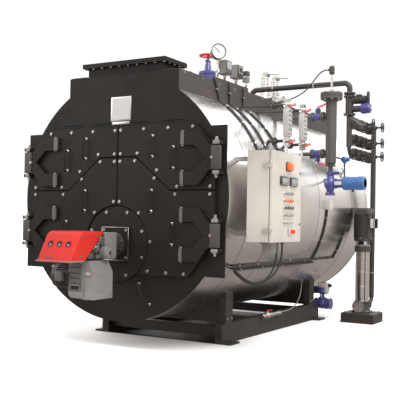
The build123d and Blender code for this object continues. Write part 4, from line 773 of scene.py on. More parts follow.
class BOILER_OT_front_trim(bpy.types.Operator):
    """Add the bare badge plate, vent slots, lift rods, edge trim and the bolts of the front's flanges"""

    bl_idname = "boiler.front_trim"
    bl_label = "Front trim"

    SLOTS = ((-710, -484), (-315, -101), (83, 294), (483, 704))

    def execute(self, context):
        sizes = context.scene.boiler_hardware
        self.badge()
        self.slots()
        self.lift_rods()
        self.edge_trim()
        self.burner_plate_bolts(sizes)
        self.flue_bolts(sizes)
        return {"FINISHED"}

    def badge(self):
        draft = Draft("bare_badge_plate")
        low = front_point(-120, 738, FRONT_Y - 0.004)
        high = front_point(120, 972, FRONT_Y)
        draft.box(low, high, "fitting_steel", 0.0015)
        draft.box(low + mm(14, -1, 14), high + mm(-14, -3, -14), "badge_silver")
        strip_low = front_point(-105, 705, FRONT_Y - 0.003)
        strip_high = front_point(105, 730, FRONT_Y)
        draft.box(strip_low, strip_high, "fitting_steel", 0.001)
        for x in (-112, 112):
            for height in (746, 964):
                seat = front_point(x, height, FRONT_Y - 0.004)
                draft.lathe([(4, 0), (3, 1.5), (0, 2)], seat, FRONT, "zinc", 12)
        draft.done(ROOT)

    def slots(self):
        draft = Draft("vent_slots")
        for left, right in self.SLOTS:
            low = front_point(left, 692, FRONT_Y - 0.0015)
            high = front_point(right, 716, FRONT_Y)
            draft.box(low, high, "shadow")
            lip_low = front_point(left - 6, 716, FRONT_Y - 0.009)
            draft.box(lip_low, front_point(right + 6, 721, FRONT_Y), "boiler_black", 0.0015)
        draft.done(ROOT)

    def lift_rods(self):
        draft = Draft("lower_lift_rods")
        for sign in (-1, 1):
            top = front_point(sign * 252, -814)
            foot = front_point(sign * 371, -1005)
            upper, lower = top + mm(0, -40, 0), foot + mm(0, -40, 0)
            sunk = mm(0, 4, 0)
            along = (foot - top).normalized() * 0.016
            inward = mm(0, 16, 0)
            route = [top + sunk, upper + inward, upper + (along + inward) * 0.3, upper + along]
            route += [lower - along, lower - (along - inward) * 0.3, lower + inward, foot + sunk]
            draft.tube(route, 0.0075, "boiler_black", 12)
            for seat in (top, foot):
                draft.lathe([(17, 0), (13, 6), (0, 9)], seat, FRONT, "zinc", 16)
        draft.done(ROOT)

    def edge_trim(self):
        """Bright rolled edge where the sheet meets the front plate."""
        draft = Draft("front_edge_trim")
        centre = Vector((0, PLATE_HIGH.y + 0.008, AXIS_Z))
        route = arc_points(centre, RIGHT, UP, DRUM_RADIUS - 0.0055, -143, -37, 60)
        draft.tube(route, 0.006, "cladding", 8)
        draft.done(ROOT)

    def burner_plate_bolts(self, sizes):
        draft = Draft("burner_plate_bolts")
        flange_y = box_of("burner_plate")[0].y
        radius, face_y = 0.322, flange_y + 0.025
        for number in range(8):
            turn = radians(22.5 + 45 * number)
            seat = Vector((radius * cos(turn), face_y, BURNER_Z + radius * sin(turn)))
            draft.bolt(seat, FRONT, sizes.door_bolt, "zinc", turn=number)
        for x in (-0.13, 0.13):
            for height in (-0.13, 0.13):
                seat = Vector((x, flange_y, BURNER_Z + height))
                draft.bolt(seat, FRONT, sizes.flange_bolt, "zinc", turn=x)
        self.flange_edge(draft, flange_y)
        draft.done(ROOT)

    def flange_edge(self, draft, flange_y):
        """Bright gasket edge round the square burner flange."""
        half, edge = 0.159, 0.005
        steel = "fitting_steel"
        for sign in (-1, 1):
            x = sign * half
            low_x, high_x = sorted((x, x - sign * edge))
            low = Vector((low_x, flange_y - 0.002, BURNER_Z - half))
            draft.box(low, Vector((high_x, flange_y + 0.02, BURNER_Z + half)), steel, 0.001)
            low_z, high_z = sorted((BURNER_Z + sign * half, BURNER_Z + sign * (half - edge)))
            low = Vector((-half, flange_y - 0.002, low_z))
            draft.box(low, Vector((half, flange_y + 0.02, high_z)), steel, 0.001)

    def flue_bolts(self, sizes):
        low, high = box_of("flue_outlet")
        draft = Draft("flue_flange_bolts")
        inset = 0.022
        for step in range(10):
            x = low.x + inset + (high.x - low.x - 2 * inset) * step / 9
            for y in (low.y + inset, high.y - inset):
                self.stud(draft, x, y, high.z, sizes)
        for step in range(1, 4):
            y = low.y + inset + (high.y - low.y - 2 * inset) * step / 4
            for x in (low.x + inset, high.x - inset):
                self.stud(draft, x, y, high.z, sizes)
        draft.done(ROOT)

    def stud(self, draft, x, y, top, sizes):
        """A flange nut on the underside, where the loose counter flange is bolted."""
        draft.bolt(Vector((x, y, top - 0.043)), DOWN, sizes.flange_bolt, "zinc", turn=x * 9)


class BOILER_OT_burner(bpy.types.Operator):
    """Add the burner's head, the hood's windows and lip, the fan's louvres and the motor's fins"""

    bl_idname = "boiler.burner"
    bl_label = "Burner fittings"

    WINDOW_XS = (-0.094, 0.006, 0.106)
    # Places on the burner's side, in millimetres behind the front plate and above the burner axis
    HOOD_REAR_FOOT = (-735, -139)
    HOOD_REAR_TOP = (-461, 121)
    COVER_FRONT, COVER_REAR = -396, -222
    HEAD_FOOT, HEAD_TOP = -139, 116
    SERVO_PLACE = (-400, -70)
    SERVO_RADIUS, SERVO_DEPTH = 0.058, 0.045

    def execute(self, context):
        sizes = context.scene.boiler_hardware
        self.head(sizes)
        self.hood()
        self.fan(sizes)
        self.motor()
        self.servo(sizes)
        return {"FINISHED"}

    def hood(self):
        low, high = box_of("burner_hood")
        draft = Draft("hood_fittings")
        foot = Vector((0, low.y, low.z))
        brow = Vector((0, behind(-815), BURNER_Z + 0.074))
        up = (brow - foot).normalized()
        out = Vector((0, -up.z, up.y))
        span = (brow - foot).length
        for x in self.WINDOW_XS:
            centre = foot + up * span * 0.7 + Vector((x, 0, 0))
            rim = [(36, -4), (36, 3), (31, 5), (28, 3), (28, -2)]
            draft.lathe(rim, centre, out, "burner_red", 32)
            draft.lathe([(28, -2), (28, 1), (0, 1)], centre, out, "shadow", 32)
            draft.lathe([(12, 1), (10, 4), (0, 4)], centre - up * 0.008, out, "burner_grey", 20)
        strip = foot + up * span * 0.16 + mm(-55, 0, 0)
        draft.block(strip + out * 0.0008, (RIGHT, up, out), (0.09, 0.016, 0.002), "strip_red")
        lip = (low.x + 0.004, low.y + 0.003, low.z - 0.004)
        draft.box(lip, (high.x - 0.004, behind(-742), low.z + 0.01), "burner_grey", 0.003)
        sides = ((low.x, -1), (high.x, 1))
        for x, outward in sides:
            trim = Vector((x + outward * 0.002, behind(-836), low.z + 0.004))
            draft.block(trim, AXES, (0.006, 0.186, 0.012), "burner_grey", 0.002)
        for x, outward in sides:
            for y_mm, height in ((-780, -95), (-560, 85), (-740, 70)):
                seat = Vector((x, behind(y_mm), BURNER_Z + height * MM))
                draft.lathe([(10, 0), (10, 3), (6, 5), (0, 5)], seat, (outward, 0, 0), "zinc", 14)
        draft.done(ROOT)

    def fan(self, sizes):
        low, high = box_of("fan_housing")
        draft = Draft("fan_louvres")
        dark = "burner_dark"
        right = low.x + 0.152
        draft.box(
            (low.x + 0.006, low.y - 0.004, low.z + 0.066), (right, low.y + 0.002, high.z - 0.004), dark,
            0.002
        )
        for row in range(4):
            z = high.z - 0.06 - 0.048 * row
            draft.box((low.x + 0.02, low.y - 0.0045, z - 0.005), (right - 0.012, low.y - 0.003, z), "shadow")
            draft.box(
                (low.x + 0.018, low.y - 0.009, z), (right - 0.01, low.y - 0.002, z + 0.004), dark, 0.0015
            )
        grip = Vector((low.x + 0.076, low.y - 0.004, low.z + 0.105))
        draft.box_at(grip, mm(-42, -1, -20), mm(42, 2, 20), "shadow")
        draft.box_at(grip, mm(-46, -4, 14), mm(46, 2, 24), "burner_grey", 0.002)
        mouth_low = Vector((low.x + 0.16, low.y + 0.016, low.z - 0.001))
        mouth_high = Vector((high.x + 0.003, high.y - 0.016, low.z + 0.058))
        draft.box(mouth_low, mouth_high, "burner_grey", 0.003)
        patch = Vector(((low.x + 0.158 + high.x) / 2, low.y + 0.0175, high.z - 0.12))
        draft.box_at(patch, mm(-30, -3, -18), mm(30, 2, 18), "fitting_steel", 0.002)
        for x in (low.x + 0.008, low.x + 0.14):
            for z in (high.z - 0.02, high.z - 0.15, low.z + 0.085):
                seat = Vector((x, low.y - 0.004, z))
                draft.bolt(seat, FRONT, sizes.small_screw, "zinc", turn=z * 40)
        draft.done(ROOT)

    def motor(self):
        low, high = box_of("fan_motor")
        axis_y = (low.y + high.y) / 2
        axis_z = (low.z + high.z) / 2
        radius = (high.z - low.z) / 2
        draft = Draft("fan_motor_fittings")
        black = "motor_black"
        for number in range(30):
            turn = 2 * pi * number / 30
            ray = Vector((0, cos(turn), sin(turn)))
            centre = Vector(((low.x + high.x) / 2 + 0.02, axis_y, axis_z)) + ray * (radius + 0.004)
            draft.block(centre, (RIGHT, ray, RIGHT.cross(ray)), (0.115, 0.016, 0.005), black)
        cowl = [
            (radius + 0.008, 0), (radius + 0.008, 0.052), (radius - 0.012, 0.06), (0.03, 0.061), (0, 0.061)
        ]
        draft.turned(cowl, (low.x + 0.062, axis_y, axis_z), LEFT, black, 40)
        for ring in (0.03, 0.052, 0.074):
            draft.ring((low.x + 0.0005, axis_y, axis_z), RIGHT, ring, 0.0035, "zinc", 36, 6)
        box_low = Vector((low.x + 0.08, low.y - 0.04, axis_z - 0.04))
        draft.box_at(box_low, mm(0, 0, 0), mm(80, 60, 85), "burner_dark", 0.006)
        gland = box_low + mm(40, 30, 0)
        draft.lathe([(13, 0), (13, 14), (10, 22), (0, 22)], gland, DOWN, "rubber", 12)
        draft.done(ROOT)

    def side(self, place, x=0.0):
        """A place on the burner's side, from millimetres behind the plate and above the axis."""
        return Vector((x, behind(place[0]), BURNER_Z + place[1] * MM))

    def head(self, sizes):
        """The head behind the hood: dark drive housing, pale cover, round neck and servo."""
        half = box_of("burner_body")[1].x - self.SERVO_DEPTH
        dark, grey = "motor_black", "burner_grey"
        draft = Draft("burner_head")
        front = self.COVER_FRONT
        corners = (self.HOOD_REAR_FOOT, (front, self.HEAD_FOOT), (front, self.HEAD_TOP), self.HOOD_REAR_TOP)
        outline = [(y * MM, z * MM) for y, z in corners]
        inner = half - 0.022
        origin = Vector((-inner, FRONT_Y, BURNER_Z))
        draft.prism(outline, origin, REAR, UP, 2 * inner, dark)
        for x in (-half, half - 0.006):
            edge = [self.HOOD_REAR_FOOT, (-690, -139), (-440, 100), self.HOOD_REAR_TOP]
            rim = [(y * MM, z * MM) for y, z in edge]
            draft.prism(rim, Vector((x, FRONT_Y, BURNER_Z)), REAR, UP, 0.006, grey)
        cover_low = self.side((self.COVER_FRONT, self.HEAD_FOOT + 8), -half)
        cover_high = self.side((self.COVER_REAR, self.HEAD_TOP - 4), half)
        draft.box(cover_low, cover_high, grey, 0.01, 3)
        for y in (self.COVER_FRONT + 20, self.COVER_REAR - 20):
            for z in (self.HEAD_FOOT + 30, self.HEAD_TOP - 24):
                for outward in (-1, 1):
                    seat = self.side((y, z), outward * half)
                    draft.bolt(seat, (outward, 0, 0), sizes.small_screw, "zinc", washer=False, turn=z)
        flange_y = box_of("burner_plate")[0].y
        neck = Vector((0, behind(self.COVER_REAR), BURNER_Z - 0.01))
        span = flange_y - neck.y
        profile = [(0.104, -0.002), (0.104, span - 0.03), (0.118, span - 0.026), (0.118, span)]
        draft.turned(profile, neck, REAR, dark, 40)
        draft.bolt_circle(neck + Vector((0, span - 0.026, 0)), FRONT, 0.11, 8, 0.009, "zinc", 22)
        for turn_deg in (-20, 45, 110, 200):
            turn = radians(turn_deg)
            arm = Vector((cos(turn), 0, sin(turn)))
            start = neck + arm * 0.106
            draft.tube([start, start + Vector((0, span - 0.03, 0))], 0.006, "fitting_steel", 8)
        servo = self.side(self.SERVO_PLACE, half)
        servo_end = servo + Vector((self.SERVO_DEPTH, 0, 0))
        draft.rod(servo - mm(22, 0, 0), servo_end, self.SERVO_RADIUS, grey, 40, 0.004)
        self.linkage(draft, inner)
        draft.done(ROOT, replaces=("burner_body",))

    def linkage(self, draft, x):
        """Cam, levers and rods that show on the drive housing's right side."""
        steel, grey, brass = "fitting_steel", "burner_grey", "brass"
        cam = self.side((-505, -25), x)
        draft.lathe([(46, 0), (46, 8), (40, 10), (14, 10), (14, 18), (0, 18)], cam, RIGHT, steel, 32)
        lever_end = self.side((-448, 62), x + 0.01)
        draft.tube([cam + mm(13, 0, 0), lever_end], 0.007, grey, 10)
        draft.rod(lever_end - mm(12, 0, 0), lever_end + mm(10, 0, 0), 0.011, steel, 16, 0.002)
        draft.tube([lever_end, self.side((-408, -52), x + 0.012)], 0.005, steel, 10)
        boxes = (((-585, -95), 0.07, 0.05), ((-470, -105), 0.09, 0.04), ((-425, 30), 0.036, 0.09))
        for place, width, height in boxes:
            centre = self.side(place, x + 0.006)
            draft.block(centre, AXES, (0.016, width, height), "burner_dark", 0.003)
            draft.bolt(centre + mm(8, 0, 0), RIGHT, 0.006, brass, washer=False)

    def servo(self, sizes):
        centre = self.side(self.SERVO_PLACE, box_of("burner_body")[1].x)
        draft = Draft("servo_fittings")
        draft.lathe([(48, 0), (48, 6), (40, 10), (0, 10)], centre, RIGHT, "burner_grey", 32)
        draft.lathe([(16, 10), (16, 18), (0, 18)], centre, RIGHT, "zinc", 18)
        for number in range(4):
            turn = radians(45 + 90 * number)
            seat = centre + Vector((0.006, 0.043 * cos(turn), 0.043 * sin(turn)))
            draft.bolt(seat, RIGHT, sizes.small_screw, "zinc", washer=False, turn=number)
        draft.done(ROOT)


class BOILER_OT_top_fittings(bpy.types.Operator):
    """Add the fittings of the steam valve, manhole and safety valves, and the deck's treads"""

    bl_idname = "boiler.top_fittings"
    bl_label = "Top fittings"

    def execute(self, context):
        sizes = context.scene.boiler_hardware
        self.steam_valve(sizes)
        self.manhole(sizes)
        self.safety_valves(sizes)
        self.deck()
        return {"FINISHED"}

    def steam_valve(self, sizes):
        low, high = box_of("steam_valve")
        y = (low.y + high.y) / 2
        draft = Draft("steam_valve_fittings")
        body_z = DECK_HIGH.z + 0.23
        draft.bolt_circle((0, y, DECK_HIGH.z + 0.144), UP, 0.09, 8, sizes.flange_bolt, "zinc", 22)
        draft.bolt_circle((0, y, body_z + 0.08), UP, 0.08, 8, sizes.flange_bolt * 0.8, "zinc")
        for sign in (-1, 1):
            foot = Vector((0, y + sign * 0.05, body_z + 0.09))
            top = Vector((0, y + sign * 0.03, body_z + 0.205))
            draft.tube([foot, top], 0.009, "valve_blue", 12)
        yoke_low = Vector((-0.016, y - 0.045, body_z + 0.198))
        draft.box_at(yoke_low, mm(0, 0, 0), mm(32, 90, 22), "valve_blue", 0.005)
        draft.rod((0, y, body_z + 0.2), (0, y, high.z + 0.01), 0.01, "fitting_steel", 16, 0.002)
        draft.done(ROOT)

    def manhole(self, sizes):
        low, high = box_of("manhole")
        centre = Vector(((low.x + high.x) / 2, (low.y + high.y) / 2, high.z))
        radius = (high.x - low.x) / 2
        draft = Draft("manhole_fittings")
        draft.bolt_circle(centre, UP, radius - 0.03, 16, sizes.flange_bolt, "zinc")
        draft.turned([(radius - 0.07, 0), (radius - 0.075, 0.006), (0, 0.006)], centre, UP, "pipe_black", 48)
        for sign in (-1, 1):
            grip = centre + Vector((sign * 0.11, 0, 0.004))
            route = [grip + mm(0, -60, 0), grip + mm(0, -60, 40), grip + mm(0, 60, 40)]
            draft.tube(route + [grip + mm(0, 60, 0)], 0.007, "pipe_black", 10)
        draft.done(ROOT)

    def safety_valves(self, sizes):
        low, high = box_of("safety_valves")
        draft = Draft("safety_valve_fittings")
        base = DECK_HIGH.z
        for y in (low.y + 0.085, high.y - 0.085):
            draft.bolt_circle((0, y, base + 0.15), UP, 0.071, 4, sizes.flange_bolt, "zinc", DIAGONAL)
            draft.bolt_circle((0, y, base + 0.345), UP, 0.057, 6, sizes.flange_bolt * 0.6, "zinc")
            draft.bolt_circle(
                (0.138, y, base + 0.235), RIGHT, 0.056, 4, sizes.flange_bolt * 0.8, "zinc", DIAGONAL
            )
            draft.ring((0, y, base + 0.42), UP, 0.0495, 0.004, "fitting_steel", 32, 8)
            draft.ring((0, y, base + 0.5), UP, 0.0475, 0.004, "fitting_steel", 32, 8)
            fork = Vector((0, y, base + 0.552))
            for side in (-1, 1):
                plate = fork + Vector((0, side * 0.026, 0))
                draft.box_at(plate, (-0.024, -0.003, -0.03), (0.06, 0.003, 0.022), "zinc", 0.001)
            draft.rod(fork + mm(40, -34, 0), fork + mm(40, 34, 0), 0.005, "zinc", 10)
        draft.done(ROOT)

    def deck(self):
        """Raised anti-slip strips along the walkway, and rivets on its skirts."""
        draft = Draft("deck_treads")
        start, end = behind(460), DECK_HIGH.y - 0.05
        count = 34
        for row in range(count):
            y = start + (end - start) * row / (count - 1)
            for column in range(-5, 6):
                x = column * 0.115 + (0.03 if row % 2 else -0.03)
                if self.is_clear(x, y):
                    lean = 1 if (row + column) % 2 else -1
                    along = Vector((1, lean, 0)).normalized()
                    across = Vector((-lean, 1, 0)).normalized()
                    centre = Vector((x, y, DECK_HIGH.z + 0.0006))
                    draft.block(centre, (along, across, UP), (0.042, 0.011, 0.0024), "deck_paint")
        for side in (-1, 1):
            for row in range(12):
                y = behind(120) + (DECK_HIGH.y - behind(200)) * row / 11
                seat = Vector((side * SKIRT_X, y, DECK_HIGH.z - 0.022))
                draft.lathe([(7, 0), (5, 2.5), (0, 3)], seat, (side, 0, 0), "zinc", 10)
        draft.done(ROOT)

    def is_clear(self, x, y):
        """Whether a tread lies off the fittings that come up through the deck."""
        for name in ("steam_valve", "manhole", "safety_valves", "instrument_rail", "feed_pipe"):
            low, high = box_of(name)
            if low.x - 0.05 < x < high.x + 0.05 and low.y - 0.05 < y < high.y + 0.05:
                return False
        return abs(x) < SKIRT_X - 0.05


class BOILER_OT_instruments(bpy.types.Operator):
    """Add the gauge's dial, the switches' covers and the rail's bolts"""

    bl_idname = "boiler.instruments"
    bl_label = "Instruments"

    GAUGE_TURN = radians(40)
    GAUGE_RADIUS = 0.08
    GAUGE_HALF_DEPTH = 0.025

    def execute(self, context):
        sizes = context.scene.boiler_hardware
        self.gauge()
        self.switches()
        self.rail(sizes)
        return {"FINISHED"}

    def gauge(self):
        low, high = box_of("pressure_gauge")
        facing = Vector((cos(self.GAUGE_TURN), -sin(self.GAUGE_TURN), 0))
        middle = Vector(((low.x + high.x) / 2, (low.y + high.y) / 2, high.z - self.GAUGE_RADIUS))
        face = middle + facing * self.GAUGE_HALF_DEPTH
        across = Vector((-facing.y, facing.x, 0))
        reach = self.GAUGE_RADIUS
        draft = Draft("gauge_dial")
        draft.turned([(reach * 0.9, 0), (reach * 0.9, 0.0008), (0, 0.0008)], face, facing, "dial_white", 48)
        rim = [
            (reach * 0.88, 0), (reach * 0.9, 0.007), (reach * 0.97, 0.007), (reach, 0.003), (reach, -0.012)
        ]
        draft.turned(rim, face, facing, "motor_black", 48)
        for mark in range(28):
            turn = radians(225 - 10 * mark)
            arm = across * cos(turn) + UP * sin(turn)
            along = 0.012 if mark % 3 == 0 else 0.006
            centre = face + arm * (reach * 0.8 - along / 2) + facing * 0.0011
            draft.block(centre, (arm, facing, facing.cross(arm)), (along, 0.0008, 0.0032), "ink")
        turn = radians(140)
        arm = across * cos(turn) + UP * sin(turn)
        centre = face + arm * reach * 0.26 + facing * 0.003
        draft.block(centre, (arm, facing, facing.cross(arm)), (reach * 0.86, 0.001, 0.007), "ink")
        draft.rod(face, face + facing * 0.005, 0.006, "ink", 20, 0.001)
        neck = middle - UP * reach
        draft.lathe([(13, -45), (13, 0), (10, 6)], neck, UP, "brass", 6)
        siphon = neck - UP * 0.13
        draft.ring(siphon, across, 0.034, 0.0085, "fitting_steel", 36, 10)
        draft.done(ROOT)

    def switches(self):
        """Covers, windows and glands on the three switches, from their places behind the front."""
        low, high = box_of("pressure_switches")
        x = (low.x + high.x) / 2
        base = low.z + 0.055
        white, black = "instrument_plastic", "motor_black"
        draft = Draft("switch_covers")
        for place, width, height, cover in ((900, 0.13, 0.14, "burner_dark"), (1150, 0.12, 0.138, black)):
            y = behind(place)
            front = x + 0.045
            lid_low = Vector((front - 0.002, y - width / 2 + 0.004, base + 0.006))
            lid_high = Vector((front + 0.01, y + width / 2 - 0.004, base + height - 0.006))
            draft.box(lid_low, lid_high, cover, 0.004)
            glass_low = Vector((front + 0.009, y - width * 0.3, base + height * 0.42))
            glass_high = Vector((front + 0.0112, y + width * 0.3, base + height * 0.82))
            draft.box(glass_low - mm(0, 6, 6), glass_high + mm(-0.6, 6, 6), white, 0.001)
            draft.box(glass_low, glass_high, "ink" if cover == black else "display")
            for corner_y in (lid_low.y + 0.012, lid_high.y - 0.012):
                for corner_z in (lid_low.z + 0.012, lid_high.z - 0.012):
                    seat = Vector((lid_high.x, corner_y, corner_z))
                    draft.lathe([(4.5, 0), (4.5, 1.8), (0, 2.4)], seat, RIGHT, "zinc", 12)
            top = Vector((x, y + width * 0.2, base + height))
            draft.lathe([(14, 0), (14, 14), (11, 17), (0, 17)], top, UP, black, 20)
            draft.rod((x, y, base - 0.03), (x, y, base), 0.018, "brass", 6, 0.002)
            gland = Vector((x, y + width / 2, base + 0.03))
            draft.rod(gland, gland + mm(0, 22, 0), 0.011, black, 12, 0.002)
        y = behind(1380)
        draft.box((x - 0.032, y - 0.032, base + 0.055), (x + 0.032, y + 0.032, base + 0.122), black, 0.01, 3)
        profile = [(34, 45), (36, 50), (36, 60), (34, 64)]
        draft.lathe(profile, (x, y, base), UP, "fitting_steel", 32)
        draft.rod((x, y, base - 0.035), (x, y, base), 0.016, "fitting_steel", 6, 0.002)
        gland = Vector((x, y + 0.032, base + 0.085))
        draft.rod(gland, gland + mm(0, 24, 0), 0.01, black, 12, 0.002)
        draft.done(ROOT)

    def rail(self, sizes):
        low, high = box_of("instrument_rail")
        draft = Draft("rail_bolts")
        for number in range(6):
            y = low.y + 0.05 + (high.y - low.y - 0.1) * number / 5
            draft.bolt((low.x + 0.018, y, low.z + 0.006), UP, sizes.flange_bolt * 0.7, "zinc")
        draft.done(ROOT)


class BOILER_OT_level_gauges(bpy.types.Operator):
    """Add the gauge glasses' frames, nuts, cocks and link flanges"""

    bl_idname = "boiler.level_gauges"
    bl_label = "Level gauges"

    HALF_WIDTH = 0.046

    def execute(self, context):
        sizes = context.scene.boiler_hardware
        low, high = box_of("level_gauges")
        draft = Draft("level_gauge_fittings")
        cocks = (low.z + 0.14, high.z - 0.06)
        for y in (low.y + self.HALF_WIDTH, high.y - self.HALF_WIDTH):
            self.housing(draft, low, high, y, sizes)
            for cock_z in cocks:
                self.cock(draft, low, high, y, cock_z)
            self.link_flanges(draft, y, cocks, low.x, sizes)
        draft.done(ROOT)
        return {"FINISHED"}

    def housing(self, draft, low, high, y, sizes):
        """A light frame round a narrow glass, held by two rows of nuts."""
        front = low.x + 0.05
        bottom, top = low.z + 0.185, high.z - 0.105
        light = "instrument_plastic"
        for side in (-1, 1):
            edge = y + side * 0.0315
            draft.box(
                (front - 0.046, edge - 0.0155, bottom - 0.004), (front + 0.012, edge + 0.0155, top + 0.004),
                light, 0.004
            )
            for number in range(6):
                z = bottom + 0.022 + (top - bottom - 0.044) * number / 5
                draft.bolt((front + 0.012, edge, z), RIGHT, sizes.flange_bolt * 0.75, "zinc")
        for end in (bottom + 0.006, top - 0.006):
            draft.box_at((front, y, end), mm(-40, -20, -10), mm(12, 20, 10), light, 0.003)
        draft.box(
            (front - 0.004, y - 0.0165, bottom + 0.012), (front + 0.003, y + 0.0165, top - 0.012), "glass"
        )
        draft.box((front, y - 0.012, bottom + 0.016), (front + 0.0012, y + 0.012, top - 0.016), "ink")
        draft.box((front, y - 0.012, bottom + 0.13), (front + 0.0016, y + 0.012, top - 0.016), "dial_white")

    def cock(self, draft, low, high, y, z):
        """A cock's collar and its red lever on the CAD spindle."""
        steel = "fitting_steel"
        base = Vector((low.x + 0.05, y, z))
        draft.lathe([(24, 0), (24, 14), (18, 18), (18, 36), (11, 40)], base, RIGHT, steel, 6)
        draft.lathe([(30, -52), (33, -46), (33, -4), (30, 2)], base, RIGHT, steel, 28)
        tip = Vector((high.x - 0.014, y, z))
        draft.rod(tip - RIGHT * 0.006, tip + RIGHT * 0.013, 0.014, "handle_red", 16, 0.003)
        grip = tip + RIGHT * 0.003
        lever = [grip, grip + mm(0, -30, -16), grip + mm(0, -105, -30)]
        draft.tube(smooth_route(lever, 5), 0.0085, "handle_red", 10)
        draft.rod(lever[-1], lever[-1] + mm(0, -16, -3), 0.012, "handle_red", 14, 0.004)

    def link_flanges(self, draft, y, heights, back_x, sizes):
        """Bolts on the flanges of the links to the drum."""
        for z in heights:
            face = back_x - 0.13
            draft.bolt_circle((face, y, z), LEFT, 0.031, 4, sizes.flange_bolt * 0.6, "zinc", DIAGONAL)
            draft.bolt_circle(
                (face + 0.034, y, z), RIGHT, 0.031, 4, sizes.flange_bolt * 0.6, "zinc", DIAGONAL
            )
            groove = [(41.5, 15.5), (42.5, 16.5), (42.5, 17.5), (41.5, 18.5)]
            draft.lathe(groove, (face, y, z), RIGHT, "shadow", 28)


